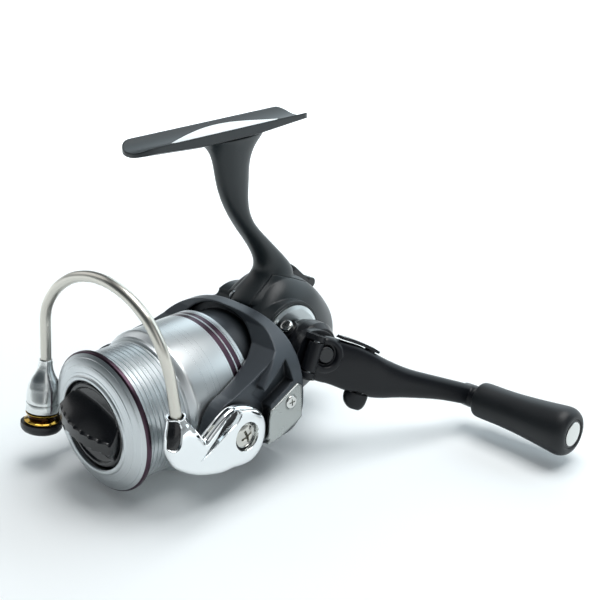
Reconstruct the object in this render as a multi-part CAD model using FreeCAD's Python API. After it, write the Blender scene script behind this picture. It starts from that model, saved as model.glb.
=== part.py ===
import FreeCAD, Part
import math
import os

# Fixed-spool (spinning) reel, about 61 mm over the foot, modelled in millimetres.
# While it is modelled, X is the handle side, -Y the spool end, +Z the rod side, and
# the spool axis is the Y axis at handle height 0. Every sub-part is then moved so that
# the origin is the middle of the saddle that a rod blank lies in.

V = FreeCAD.Vector
AX, AY, AZ = V(1, 0, 0), V(0, 1, 0), V(0, 0, 1)

# ---- driving dimensions ----
CLEAR = 0.05            # running clearance, radial
GAP = 0.30              # open gap between neighbouring moving pieces
SEAT = 0.02             # clearance of a seated, unmoving piece

# foot and stem
FOOT_Y = -16.1          # middle of the foot
FOOT_LENGTH = 66.0
FOOT_WIDTH = 13.1
FOOT_TOP = 78.9         # edges of the saddle
FOOT_FRONT_R = 5.6      # rounding of its ends, seen from above
FOOT_REAR_R = 3.0
SADDLE_R = 12.0         # rod seat radius
FOOT_END_T = 1.2        # thickness of the foot's tips
FOOT_MID_T = 2.6        # and beside the stem
FOOT_RAMP = 22.0        # length of each tapering end
INLAY_Y = -12.4         # middle of the inlaid plate
INLAY_LENGTH = 43.0
INLAY_WIDTH = 9.6
INLAY_THICK = 0.5

# housing
WALL = 1.8
SEAM_X = 4.4            # parting plane
BODY_FRONT = -12.3
SIDE_X = 13.6           # flat flank round the handle bearing
FLANK_R = 13.3
HANDLE_Z = 9.0          # handle axis above the spool axis
FRONT_WALL = 3.6
CAP_R = 12.0            # bearing cap on the handle side
PORT_R = 6.0            # cap of the spare handle port
COLLAR_FRONT = -24.5    # collar on the front, which holds the clutch
COLLAR_OUT_R = 13.2
SCREW_SPOTS = [(-7.0, 21.5), (13.0, 19.5), (24.6, 1.5), (2.5, -12.6)]   # in Y and Z

# anti-reverse lever
LEVER_AT = V(0, 13.2, 25.2)      # its pivot on the skin
LEVER_OUT = V(0, 0.707, 0.707)   # away from the skin
LEVER_ON = V(0, 0.707, -0.707)   # along the lever
LEVER_L = 12.0
LEVER_W = 5.0
LEVER_T = 2.2

# bearings and one-way roller clutch
BEARING_OUT_R = 6.0
BEARING_W = 2.8
BEARING_X = 10.9        # middle of each drive bearing
PINION_BEARING_R = 6.5
PINION_BEARING_W = 3.0
PINION_BEARING_Y = -14.3
CLUTCH_R = 11.0
CLUTCH_Y0 = -22.6
CLUTCH_Y1 = -14.6
ROLLERS = 6
ROLLER_PIN_R = 1.25
SLEEVE_OUT_R = 5.2
SLEEVE_FRONT = -26.3

# main shaft and spool
SHAFT_R = 1.75
SHAFT_FRONT = -69.3
SHAFT_REAR = 20.0
STROKE = 12.0           # spool travel, forwards from rest
LIP_R = 21.5
LIP_REAR = -63.3
LIP_FRONT = -68.0
MOUTH_R = 14.2          # inner edge of the lip
POCKET_R = 13.6         # drag pocket
POCKET_FLOOR = -54.6
DRUM_R = 20.0
DRUM_FRONT = -62.2
DRUM_REAR = -49.6
GROOVES = 7
SKIRT_R = 22.3
SKIRT_REAR = -24.6
SKIRT_WALL = 0.9
HUB_R = 5.5
SLEEVE_R = 3.0          # spool seat's sleeve
WASHER_T = 0.8
WASHERS = 3
KNOB_RIM_R = 13.05      # drag knob
FIN_HALF = 1.7
FIN_STEP = 3.0
FIN_TURN = 13.0
NUT_Y0, NUT_Y1 = -65.6, -62.6    # drag nut
DRAG_SPRING_REAR = -57.7

# rotor
ROTOR_REAR = -12.6
BASE_T = 2.1
RIM_HALF_X = 31.4
RIM_HALF_Z = 23.3
RIM_POWER = 2.0         # oval rim
ROOT_POWER = 2.7        # squarer where an arm's upper root swells out of the rim
RIM_FRONT = -16.6       # rim's front edge above and below the spool
ROTOR_DRUM_R = 20.2
ROTOR_DRUM_WALL = 2.0
ROTOR_WEB_FRONT = -38.2
ROTOR_WEB_T = 2.4
ARM_IN_X = 24.0         # inner face of the rotor's arms
HOLDER_IN_X = 27.6      # plane where the bail's ends lie on the arms
PIVOT_Y = -37.0         # bail axis
PIVOT_Z = -3.5
ARM_TIP_R = 10.6
HEEL_R = 11.0           # swept by the heels of the bail's ends as the bail opens
HEEL_TOP = -8.2
NUT_T = 3.0             # rotor nut
LOCK_R = 8.2            # its lock plate's screw, from the spool axis
SPRING_AT = V(-28.7, 0, -3.2)    # bail spring
SPRING_Y0, SPRING_Y1 = -26.8, -17.4
COVER_X0 = 30.3         # metal covers on the arms
COVER_X1 = 31.7
COVER_SCREW = (-18.1, 0.6)
COVER = [               # their outline, in Y and Z
    (-13.6, 4.6), (-15.0, 5.6), (-26.4, 0.6), (-27.0, -2.6), (-27.3, -6.6), (-29.2, -9.9),
    (-23.2, -9.6), (-15.6, -6.9), (-13.6, -5.8),
]
ARM_KEEP = {            # what stays at full width behind the bail's ends, on each side
    1: [(0, 40), (-16.9, 40), (-16.9, 19.0), (-24.0, 12.4), (-28.6, 8.6), (-26.0, 0.0),
        (-27.0, -6.6), (-29.4, -9.95), (-22.0, -11.6), (-16.9, -19.0), (-16.9, -40), (0, -40)],
    -1: [(0, 40), (-16.9, 40), (-16.9, 17.0), (-22.0, 11.6), (-28.6, 8.6), (-26.0, 0.0),
         (-27.0, -6.6), (-29.4, -9.95), (-24.0, -12.4), (-16.9, -19.0), (-16.9, -40), (0, -40)],
}
WINDOW = [(-30.4, 6.2), (-17.3, 13.4), (-16.4, 6.7), (-26.6, 2.0)]   # opening in the right arm

# bail
WIRE_R = 1.65
EAR_R = 9.3
EAR_T = 4.8
SCREW_R = 3.9
ROLLER_R = 5.5
ROLLER_L = 3.3
ROLLER_FOOT = V(-29.0, -66.6, -12.8)
ROLLER_DIR = V(0, 0.176, 0.984).normalize()
CUP_H = 3.2
CUP_R = 6.4
SOCKET_TOP = V(27.6, -59.4, 9.2)
SOCKET_WAY = V(-0.135, -0.007, 0.991).normalize()
WIRE_POINTS = [         # they clear the drag knob at full stroke as the bail swings over it
    V(27.0, -59.3, 14.7), V(26.1, -59.5, 22.1), V(24.3, -60.6, 30.1), V(20.3, -61.2, 36.7),
    V(13.8, -61.7, 41.4), V(5.7, -61.7, 43.6), V(-3.9, -61.2, 43.3), V(-13.8, -61.1, 40.5),
    V(-22.7, -61.2, 34.6), V(-28.6, -61.5, 26.6),
]

# pinion and gears
PINION_R = 3.0          # pitch radius
PINION_ADDENDUM = 0.42
PINION_TEETH = 10
PINION_TEETH_Y0, PINION_TEETH_Y1 = -8.4, -2.6
PINION_SLEEVE_R = 3.0
JOURNAL_R = 2.2         # pinion's rear end
DRIVE_TEETH = 48
HELIX = 45.0            # helix angle of pinion and drive gear
DRIVE_IN_R = 8.9
DRIVE_OUT_R = 11.5
TOOTH_H = 0.95
MESH_PHASE = 0.66       # turn of the drive gear at rest, in tooth pitches
DRIVE_SHAFT_R = 2.9     # its waist, which the slider passes
MESH_DEPTH = 0.6
OSC_TEETH = 28
OSC_PINION_TEETH = 14
OSC_Y = 11.6            # oscillation gear's axis
OSC_Z = 0.0
OSC_X0, OSC_X1 = 4.1, 6.3
OSC_PIN_R = 1.35
OSC_PIN_REACH = STROKE / 2
OSC_MODULE = 2 * math.hypot(OSC_Y, OSC_Z - HANDLE_Z) / (OSC_TEETH + OSC_PINION_TEETH)
MESH_Y = -(PINION_R * DRIVE_TEETH / PINION_TEETH - HANDLE_Z * math.tan(math.radians(HELIX)))
DRIVE_FACE_X = -PINION_R - PINION_ADDENDUM - TOOTH_H + MESH_DEPTH   # root plane of the face teeth
BUSH_R = 3.4            # pinion's rear bush
BUSH_FLAT = -2.5        # flatted beside the drive gear's teeth
BUSH_Y = -0.4
BUSH_L = 2.4

# slider that carries the main shaft, and its guide rod
SLIDER_X0, SLIDER_X1 = -2.45, 2.9
SLIDER_HALF = 2.7
SLIDER_TOP = 7.95
SLIDER_Y0 = OSC_Y + STROKE / 2 - SLIDER_HALF
SLIDER_Y1 = OSC_Y + STROKE / 2 + SLIDER_HALF
GUIDE_R = 1.1
GUIDE_AT = V(-3.9, 0, -6.0)
GUIDE_END = 22.8

# handle
HUB_X0 = 15.1
HUB_X1 = 27.2
HUB_OUT_R = 9.3
LUG_X = 18.4            # screw lug on the collar
LUG_DIR = V(0, -0.60, 0.80)
CRANK = 48.9            # handle axis to knob axis
CRANK_DROP = 25.8       # direction of the arm below +Y, degrees
ARM_X = 31.0            # middle of the arm's thickness, on the handle axis
ARM_LEAN = 24.6         # slope of the arm away from the body, degrees
EYE_R = 7.2             # round root of the arm
EYE_HALF_T = 3.0
EYE_ALONG = -2.4
EYE_ASIDE = -1.0
FOLD_X = 29.7           # hinge of the folding arm
FOLD_ALONG = -7.2       # on the far side of the handle axis from the arm
BARREL_R = 2.4
PIN_R = 1.1
TANG_HALF = 4.6         # half height of the arm's barrel between the collar's ears
EAR_TOP = 6.7
BUTTON_R = 2.5          # push button in the eye
BUTTON_ALONG = -3.0
BUTTON_ASIDE = 0.6
BUTTON_T = 1.9
BUTTON_PROUD = 0.4
BUTTON_TRAVEL = 1.2
BUTTON_DISH_R = 3.6     # shallow dish round the button
LATCH_ALONG = 11.3      # plunger across the arm
LATCH_R = 1.7
LATCH_TRAVEL = 1.5
LATCH_BOSS = 4.0        # half length of its push boss
KNOB_X0 = 57.0
KNOB_X1 = 91.6
KNOB_R0 = 5.75
KNOB_R1 = 7.8
SPINDLE_R = 1.75
ARM_STATIONS = [        # along the crank, across it, half height, half thickness
    (1.0, -1.0, 7.1, 3.0),
    (7.0, -1.4, 7.3, 3.3),
    (13.0, -2.1, 7.0, 3.3),
    (18.5, -2.3, 6.1, 3.1),
    (26.0, -1.7, 4.7, 2.9),
    (37.0, -0.5, 3.7, 2.7),
    (47.0, 0.0, 3.3, 2.6),
]

STEM_SECTIONS = [       # height, middle along Y, half depth, half thickness
    (20.0, 3.5, 11.5, 9.0),
    (27.5, 5.2, 7.6, 6.0),
    (31.5, 4.9, 5.6, 4.7),
    (36.0, 2.1, 4.3, 4.0),
    (41.5, -2.3, 3.4, 3.8),
    (48.0, -7.2, 3.0, 3.7),
    (54.5, -9.8, 4.1, 3.7),
    (61.0, -10.7, 5.5, 3.8),
    (67.5, -10.9, 6.6, 4.0),
    (72.0, -10.6, 9.0, 4.5),
    (75.0, -11.4, 12.5, 5.4),
]
BODY_SECTIONS = [       # position along Y, half width, bottom, top
    (-12.3, 15.6, -15.6, 15.6),
    (-8.5, 15.0, -16.2, 20.6),
    (-3.0, 14.2, -16.8, 25.4),
    (3.0, 13.9, -16.8, 27.8),
    (10.0, 13.5, -15.8, 27.0),
    (16.5, 12.4, -13.4, 23.4),
    (22.0, 10.4, -10.4, 17.9),
    (26.5, 7.8, -7.0, 12.2),
    (29.5, 4.6, -3.4, 6.6),
    (31.0, 1.6, -0.2, 2.8),
]
SEAM = [                # side cover's upper edge, in Y and Z
    (-9.5, -30.0), (-9.5, 20.0), (-7.5, 27.0), (-4.0, 30.2), (2.0, 28.8), (9.0, 26.0),
    (14.0, 23.6), (20.0, 21.0), (40.0, 15.0), (40.0, -30.0),
]


# ---- small helpers ----
def cyl(axis, radius, start, end, at=V(0, 0, 0)):
    """A round bar along a unit axis, from start to end along it, about the line through at."""
    return Part.makeCylinder(radius, end - start, at + axis * start, axis)


def tube(axis, outer, inner, start, end, at=V(0, 0, 0)):
    return cyl(axis, outer, start, end, at).cut(cyl(axis, inner, start - 1, end + 1, at))


def box(x0, x1, y0, y1, z0, z1):
    return Part.makeBox(x1 - x0, y1 - y0, z1 - z0, V(x0, y0, z0))


def along(start, end, radius):
    way = end - start
    return Part.makeCylinder(radius, way.Length, start, way)


def polygon(points):
    return Part.makePolygon(points + [points[0]])


def prism(points, way):
    return Part.Face(polygon(points)).extrude(way)


def side_prism(outline, x0, x1):
    """A flat plate whose outline is given in Y and Z."""
    return prism([V(x0, y, z) for y, z in outline], V(x1 - x0, 0, 0))


def turned(axis, profile, at=V(0, 0, 0)):
    """A solid of revolution; the profile holds pairs of place along the axis and radius."""
    side = AZ if abs(axis.z) < 0.5 else AX
    points = [at + axis * place + side * radius for place, radius in profile]
    return Part.Face(polygon(points)).revolve(at, axis, 360)


def oval(centre, u, v, a, b, power=2.0, count=28):
    """A closed smooth superellipse in the plane of u and v."""
    points = []
    for i in range(count):
        t = 2 * math.pi * i / count
        c, s = math.cos(t), math.sin(t)
        x = a * math.copysign(abs(c) ** (2 / power), c)
        y = b * math.copysign(abs(s) ** (2 / power), s)
        points.append(centre + u * x + v * y)
    curve = Part.BSplineCurve()
    curve.interpolate(points, PeriodicFlag=True)
    return Part.Wire(curve.toShape())


def loft(wires, ruled=False):
    return Part.makeLoft(wires, True, ruled)


def fuse(shapes):
    whole = shapes[0]
    for shape in shapes[1:]:
        whole = whole.fuse(shape)
    return whole.removeSplitter()


def rounded(shape, radius, pick):
    """Fillets the edges that pick chooses, and leaves the shape as it was if none is found."""
    edges = [e for e in shape.Edges if pick(e)]
    return shape.makeFillet(radius, edges) if edges else shape


def route(points, share=0.45):
    """A path of straight runs joined by tangent arcs."""
    edges, start = [], points[0]
    for i in range(1, len(points) - 1):
        a, p, b = points[i - 1], points[i], points[i + 1]
        back, on = (a - p), (b - p)
        reach = share * min(back.Length, on.Length)
        q0, q1 = p + back.normalize() * reach, p + on.normalize() * reach
        half = (back + on).normalize()
        bend = math.acos(max(-1.0, min(1.0, back.dot(on)))) / 2
        radius = reach * math.tan(bend)
        centre = p + half * (reach / math.cos(bend))
        middle = centre - half * radius
        edges.append(Part.LineSegment(start, q0).toShape())
        edges.append(Part.Arc(q0, middle, q1).toShape())
        start = q1
    edges.append(Part.LineSegment(start, points[-1]).toShape())
    return Part.Wire(edges)


def wire_tube(points, radius):
    path = route(points)
    section = Part.Wire(Part.Circle(points[0], points[1] - points[0], radius).toShape())
    return path.makePipeShell([section], True, True)


def cross_recess(centre, way, size, depth):
    """The cutter for a cross-head screw; way points out of the head."""
    side = way.cross(AY if abs(way.y) < 0.8 else AX).normalize()
    other = way.cross(side).normalize()
    arms = []
    for u, v in ((side, other), (other, side)):
        points = [centre + u * (size * i) + v * (size * 0.2 * j)
                  for i, j in ((-1, -1), (1, -1), (1, 1), (-1, 1))]
        arms.append(prism([p + way * 0.5 for p in points], way * -(depth + 0.5)))
    return fuse(arms)


def pan_screw(place, way, head_r, head_t, body_r, length):
    """A cross-head screw: place is the middle under its head, way points out of the head."""
    head = Part.makeCylinder(head_r, head_t, place, way)
    head = rounded(head, head_t * 0.45, lambda e: abs((e.CenterOfMass - place).dot(way) - head_t) < 0.01)
    body = Part.makeCylinder(body_r, length, place, way * -1)
    return head.fuse(body).cut(cross_recess(place + way * head_t, way, head_r * 0.55, head_t * 0.7))


def ball_bearing(axis, centre, bore, outer, width, balls):
    """Two rings and their balls, as separate solids."""
    ring_t = (outer - bore) * 0.26
    ball_r = (outer - bore) / 2 - ring_t * 0.72
    mid = (outer + bore) / 2
    half = width / 2
    side = axis.cross(AZ if abs(axis.z) < 0.5 else AX).normalize()
    race = Part.makeTorus(mid, ball_r + SEAT, centre, axis)
    parts = [tube(axis, outer, outer - ring_t, -half, half, centre).cut(race),
             tube(axis, bore + ring_t, bore, -half, half, centre).cut(race)]
    for i in range(balls):
        turn = FreeCAD.Rotation(axis, 360.0 * i / balls)
        parts.append(Part.makeSphere(ball_r, centre + turn.multVec(side) * mid))
    return Part.makeCompound(parts)


def crank_dir(along_crank, across=0.0, x=0.0):
    """A point of the handle: distance along the arm's direction, across it, and along X."""
    t = math.radians(CRANK_DROP)
    return V(x, along_crank * math.cos(t) + across * math.sin(t),
             HANDLE_Z - along_crank * math.sin(t) + across * math.cos(t))


def knob_centre(x):
    return crank_dir(CRANK, 0, x)


# ---- housing ----


def body_wires(inset):
    wires = []
    for y, half, bottom, top in BODY_SECTIONS:
        a, b = half - inset, (top - bottom) / 2 - inset
        if a < 0.8 or b < 0.8:
            break
        power = 2.0 if y <= BODY_FRONT else 2.7
        wires.append(oval(V(0, y, (top + bottom) / 2), AX, AZ, a, b, power))
    return wires


def housing_outer():
    shell = loft(body_wires(0.0))
    flank = cyl(AX, FLANK_R, -SIDE_X, SIDE_X, V(0, 0, HANDLE_Z))
    return shell.fuse(flank.common(box(-40, 40, BODY_FRONT, 40, -60, 60)))


def stem_and_foot():
    stem = loft([oval(V(0, y, z), AY, AX, b, a, 2.3) for z, y, b, a in STEM_SECTIONS])
    half, tip = FOOT_LENGTH / 2, FOOT_WIDTH / 2
    plan = box(-tip, tip, FOOT_Y - half, FOOT_Y + half, FOOT_TOP - 12, FOOT_TOP)
    plan = rounded(plan, FOOT_FRONT_R, lambda e: e.BoundBox.ZLength > 11 and e.BoundBox.YMin < FOOT_Y)
    plan = rounded(plan, FOOT_REAR_R, lambda e: e.BoundBox.ZLength > 11 and e.BoundBox.YMin > FOOT_Y)
    axis = V(0, FOOT_Y, saddle_bottom() + SADDLE_R)
    under, tip_under = SADDLE_R + FOOT_MID_T, SADDLE_R + FOOT_END_T
    plate = plan.common(turned(AY, [(-half - 1, 0.01), (-half - 1, tip_under), (-half + FOOT_RAMP, under),
                                    (half - FOOT_RAMP, under), (half + 1, tip_under),
                                    (half + 1, 0.01)], axis))
    return stem.fuse(plate).cut(cyl(AY, SADDLE_R, -half - 2, half + 2, axis))


def saddle_bottom():
    return FOOT_TOP - (SADDLE_R - math.sqrt(SADDLE_R ** 2 - (FOOT_WIDTH / 2) ** 2))


def inlay(width, length, thick):
    """A pointed oval that follows the saddle's curve."""
    half = length / 2
    bulge = (half ** 2 - (width / 2) ** 2) / width
    radius = bulge + width / 2
    z0, z1 = saddle_bottom() - 3, saddle_bottom() + 3
    lens = cyl(AZ, radius, z0, z1, V(bulge, INLAY_Y, 0)).common(
        cyl(AZ, radius, z0, z1, V(-bulge, INLAY_Y, 0)))
    axis_z = saddle_bottom() + SADDLE_R
    return lens.common(tube(AY, SADDLE_R + thick, SADDLE_R, -60, 60, V(0, 0, axis_z)))


def seam_region(gap):
    """Everything on the handle side of the housing's parting line."""
    return side_prism(SEAM, SEAM_X + gap, 40)


def housing_cavity():
    """The hollow of the housing, less the bosses and posts that stand in it."""
    hollow = loft(body_wires(WALL)).common(box(-40, 40, BODY_FRONT + FRONT_WALL, 60, -60, 60))
    for boss in inner_bosses():
        hollow = hollow.cut(boss)
    return hollow


def inner_bosses():
    at = V(0, 0, HANDLE_Z)
    bosses = [cyl(AX * side, BEARING_OUT_R + 1.6, BEARING_X - BEARING_W / 2, SIDE_X + 2, at)
              for side in (-1, 1)]
    bosses += [cyl(AX, 2.2, -20, 20, V(0, y, z)) for y, z in SCREW_SPOTS]
    bosses.append(cyl(AX, 2.7, 7.8, 20, V(0, OSC_Y, OSC_Z)))
    bosses.append(box(-20, OSC_X0 - GAP, BUSH_Y, BUSH_Y + BUSH_L, -8.4, -4.2))
    bosses.append(box(BUSH_FLAT, OSC_X0 - GAP, BUSH_Y, BUSH_Y + BUSH_L, -5.0, 4.6))
    bosses.append(cyl(AY, GUIDE_R + 1.2, SLIDER_Y1 + 0.4, 40, GUIDE_AT))
    return bosses


def whole_body():
    """Housing, stem and foot as one hollow casting, before it is parted."""
    at = V(0, 0, HANDLE_Z)
    whole = housing_outer().fuse(stem_and_foot()).cut(housing_cavity())
    whole = whole.fuse(cyl(AY, COLLAR_OUT_R, COLLAR_FRONT, BODY_FRONT + 0.5))
    cutters = [
        cyl(AY, CLUTCH_R, COLLAR_FRONT - 1, CLUTCH_Y1 + 0.1),
        cyl(AY, PINION_BEARING_R + SEAT, PINION_BEARING_Y - 1, PINION_BEARING_Y + PINION_BEARING_W),
        cyl(AY, PINION_BEARING_R - 1.2, BODY_FRONT, BODY_FRONT + 8),
        cyl(AY, BUSH_R + SEAT, BUSH_Y - 1, BUSH_Y + BUSH_L + 1).common(
            box(BUSH_FLAT - 0.1, 9, -9, 9, -9, 9)),
        cyl(AX, CAP_R + 0.1, SIDE_X - 0.5, 30, at),
        cyl(AX * -1, PORT_R + 0.1, SIDE_X - 0.5, 30, at),
        cyl(AX, DRIVE_OUT_R + GAP, -9.0, BUSH_FLAT, at),
        cyl(AY, GUIDE_R + SEAT, BUSH_Y - 0.1, GUIDE_END + 0.1, GUIDE_AT),
        cyl(AX, 1.5 + CLEAR, 7.0, 11.4, V(0, OSC_Y, OSC_Z)),
        lever_pad(),
        inlay(INLAY_WIDTH + 0.1, INLAY_LENGTH + 0.2, INLAY_THICK),
    ]
    for side in (-1, 1):
        cutters.append(cyl(AX * side, BEARING_OUT_R + SEAT, 2, BEARING_X + BEARING_W / 2, at))
        cutters.append(cyl(AX * side, 4.4, 2, 30, at))
    for y, z in SCREW_SPOTS:
        cutters.append(cyl(AX, 0.95, -20, -screw_head_x(y, z), V(0, y, z)))
        cutters.append(cyl(AX, 1.95, -30, screw_head_x(y, z), V(0, y, z)))
    for spot in plate_screw_spots():
        cutters.append(cyl(AY, 0.75, COLLAR_FRONT - 1, COLLAR_FRONT + 3.4, spot))
    for cutter in cutters:
        whole = whole.cut(cutter)
    return whole


def screw_head_x(y, z):
    """Where a cover screw's head lies: its pocket is sunk 2 mm into the flank."""
    line = Part.makeLine(V(-40, y, z), V(0, y, z))
    touched = line.common(housing_outer())
    return touched.BoundBox.XMin + 2.0


# ---- anti-reverse lever on the housing's back ----
def lever_pad():
    """Cutter for the flat that the lever swings over, and for its pivot's hole."""
    base = LEVER_AT - LEVER_ON * (LEVER_W / 2 + 0.8)
    flat = Part.makeBox(30, 27, 8)
    turn = FreeCAD.Rotation(AX, LEVER_ON, LEVER_OUT, "XYZ")
    flat.Placement = FreeCAD.Placement(base - AX * 15, turn)
    return flat.fuse(Part.makeCylinder(1.2 + CLEAR, 4.0, LEVER_AT - LEVER_OUT * 3.5, LEVER_OUT))


def stopper_lever():
    foot = LEVER_AT + LEVER_OUT * 0.15
    plate = Part.makeCylinder(LEVER_W / 2, LEVER_T, foot, LEVER_OUT)
    turn = FreeCAD.Rotation(AX, LEVER_ON, LEVER_OUT, "XYZ")
    bar = Part.makeBox(LEVER_W, LEVER_L - LEVER_W / 2, LEVER_T)
    bar.Placement = FreeCAD.Placement(foot - AX * (LEVER_W / 2), turn)
    grip = Part.makeCylinder(LEVER_W * 0.34, LEVER_W, foot + LEVER_ON * (LEVER_L - 2.4)
                             + LEVER_OUT * LEVER_T - AX * (LEVER_W / 2), AX)
    pin = Part.makeCylinder(1.2, 3.0, LEVER_AT - LEVER_OUT * 2.8, LEVER_OUT)
    return fuse([plate, bar, grip, pin])


# ---- pieces that close and carry the housing ----
def body_frame(whole):
    return whole.cut(seam_region(0.0))


def side_cover(whole):
    return whole.common(seam_region(0.05))


def foot_plate():
    return inlay(INLAY_WIDTH, INLAY_LENGTH, INLAY_THICK - 0.05)


def cover_screws():
    screws = []
    for y, z in SCREW_SPOTS:
        x = screw_head_x(y, z)
        screws.append(pan_screw(V(x - 0.01, y, z), AX * -1, 1.8, 1.2, 0.93, -2 * x - 0.4))
    return Part.makeCompound(screws)


def bearing_cap():
    at = V(0, 0, HANDLE_Z)
    return turned(AX, [(SIDE_X - 0.48, 4.2), (SIDE_X - 0.48, CAP_R), (SIDE_X + 0.5, CAP_R),
                       (SIDE_X + 1.0, CAP_R - 1.2), (SIDE_X + 1.0, 4.2)], at)


def left_port_cap():
    at = V(0, 0, HANDLE_Z)
    return turned(AX * -1, [(SIDE_X - 0.48, 0.01), (SIDE_X - 0.48, PORT_R), (SIDE_X + 0.9, PORT_R),
                            (SIDE_X + 1.5, PORT_R - 0.8), (SIDE_X + 1.2, 0.01)], at)


def drive_bearings():
    return Part.makeCompound([
        ball_bearing(AX, V(side * BEARING_X, 0, HANDLE_Z), 3.0 + SEAT, BEARING_OUT_R, BEARING_W, 8)
        for side in (-1, 1)])


def pinion_bearing():
    y = PINION_BEARING_Y + PINION_BEARING_W / 2
    return ball_bearing(AY, V(0, y, 0), PINION_SLEEVE_R + SEAT, PINION_BEARING_R, PINION_BEARING_W, 8)


def pinion_bush():
    bush = tube(AY, BUSH_R, JOURNAL_R + CLEAR, BUSH_Y, BUSH_Y + BUSH_L)
    return bush.common(box(BUSH_FLAT, 9, -9, 9, -9, 9))


# ---- one-way roller clutch, in the collar on the housing's front ----
def clutch_housing():
    return tube(AY, CLUTCH_R - SEAT, SLEEVE_OUT_R + 2 * ROLLER_PIN_R + 0.35, CLUTCH_Y0, CLUTCH_Y1)


def clutch_rollers():
    middle = SLEEVE_OUT_R + ROLLER_PIN_R + 0.12
    pins = []
    for i in range(ROLLERS):
        t = 2 * math.pi * i / ROLLERS
        pins.append(cyl(AY, ROLLER_PIN_R, CLUTCH_Y0 + 1.6, CLUTCH_Y1 - 1.2,
                        V(middle * math.cos(t), 0, middle * math.sin(t))))
    return Part.makeCompound(pins)


def clutch_cage():
    inner, outer = SLEEVE_OUT_R + 0.25, SLEEVE_OUT_R + 2 * ROLLER_PIN_R + 0.25
    cage = tube(AY, outer, inner, CLUTCH_Y0 + 0.6, CLUTCH_Y1 - 0.3)
    middle = SLEEVE_OUT_R + ROLLER_PIN_R + 0.12
    for i in range(ROLLERS):
        t = 2 * math.pi * i / ROLLERS
        cage = cage.cut(cyl(AY, ROLLER_PIN_R + 0.08, CLUTCH_Y0 + 1.5, CLUTCH_Y1 - 1.1,
                            V(middle * math.cos(t), 0, middle * math.sin(t))))
    return cage


def clutch_plate():
    plate = tube(AY, COLLAR_OUT_R, SLEEVE_OUT_R + 0.6, COLLAR_FRONT - 1.0, COLLAR_FRONT)
    for spot in plate_screw_spots():
        plate = plate.cut(cyl(AY, 0.75, COLLAR_FRONT - 2, COLLAR_FRONT + 1, spot))
    return plate


def plate_screw_spots():
    r = (COLLAR_OUT_R + CLUTCH_R) / 2
    return [V(r * math.cos(math.radians(a)), 0, r * math.sin(math.radians(a))) for a in (90, 210, 330)]


def clutch_screws():
    return Part.makeCompound([
        pan_screw(spot + AY * (COLLAR_FRONT - 1.0), AY * -1, 1.3, 0.8, 0.7, 4.0)
        for spot in plate_screw_spots()])


def guide_rod():
    return cyl(AY, GUIDE_R, BUSH_Y, GUIDE_END, GUIDE_AT)


# ---- gears ----
def pinion():
    """Helical teeth at the back of a long sleeve that carries the rotor."""
    tip, root = PINION_R + PINION_ADDENDUM, PINION_R - 0.62
    wires, steps, y0, y1 = [], 8, PINION_TEETH_Y0, PINION_TEETH_Y1
    twist = math.degrees(math.tan(math.radians(HELIX)) / PINION_R)
    for i in range(steps + 1):
        y = y0 + (y1 - y0) * i / steps
        turn = twist * (y - MESH_Y)
        points = []
        for k in range(PINION_TEETH):
            mid = 180.0 + 360.0 * k / PINION_TEETH + turn
            for off, r in ((-8.6, root), (-3.8, tip), (3.8, tip), (8.6, root)):
                t = math.radians(mid + off)
                points.append(V(r * math.cos(t), y, -r * math.sin(t)))
        wires.append(polygon(points))
    teeth = loft(wires, True)
    sleeve = cyl(AY, PINION_SLEEVE_R, ROTOR_WEB_FRONT - NUT_T - 0.3, y0)
    journal = cyl(AY, JOURNAL_R, y1, BUSH_Y + BUSH_L - 0.1)
    return fuse([teeth, sleeve, journal]).cut(cyl(AY, SHAFT_R + CLEAR, -60, 10))


def drive_gear():
    """A face gear: straight thin teeth laid tangent to the helix at the mesh."""
    at = V(0, 0, HANDLE_Z)
    disc = tube(AX, DRIVE_OUT_R, 3.5 + SEAT, DRIVE_FACE_X - 2.4, DRIVE_FACE_X, at)
    disc = disc.cut(tube(AX, DRIVE_OUT_R - 2.6, 6.4, DRIVE_FACE_X - 3, DRIVE_FACE_X - 1.4, at))
    hub = tube(AX, 5.6, 3.5 + SEAT, DRIVE_FACE_X - 3.6, DRIVE_FACE_X - 2.4, at)
    centre = V(0, MESH_Y, -HANDLE_Z)
    way = V(0, 1, math.tan(math.radians(HELIX))).normalize()
    side = AX.cross(way)
    x0, x1 = DRIVE_FACE_X - 0.1, DRIVE_FACE_X + TOOTH_H
    band = tube(AX, DRIVE_OUT_R, DRIVE_IN_R, x0 - 1, x1 + 1)
    root_w, tip_w, reach = 0.25, 0.11, 3.2
    wires = []
    for end in (-reach, reach):
        p = centre + way * end
        wires.append(polygon([p + side * -root_w + AX * x0, p + side * root_w + AX * x0,
                              p + side * tip_w + AX * x1, p + side * -tip_w + AX * x1]))
    tooth = loft(wires, True).common(band)
    teeth = []
    for i in range(DRIVE_TEETH):
        one = tooth.copy()
        one.rotate(V(0, 0, 0), AX, 360.0 * (i + MESH_PHASE) / DRIVE_TEETH)
        one.translate(at)
        teeth.append(one)
    return disc.fuse([hub] + teeth)


def spur(axis, teeth, module, start, end, at, phase):
    """A spur gear with trapezoid teeth; phase turns its first tooth, in tooth pitches."""
    pitch_r = module * teeth / 2
    root, tip = pitch_r - 1.15 * module, pitch_r + 0.85 * module
    pitch = 360.0 / teeth
    points = []
    for k in range(teeth):
        for off, r in ((-0.31, root), (-0.13, tip), (0.13, tip), (0.31, root)):
            t = math.radians(pitch * (k + off + phase))
            points.append(at + V(start, r * math.cos(t), r * math.sin(t)))
    return Part.Face(polygon(points)).extrude(axis * (end - start))


def line_angle():
    return math.atan2(OSC_Z - HANDLE_Z, OSC_Y)


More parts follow.
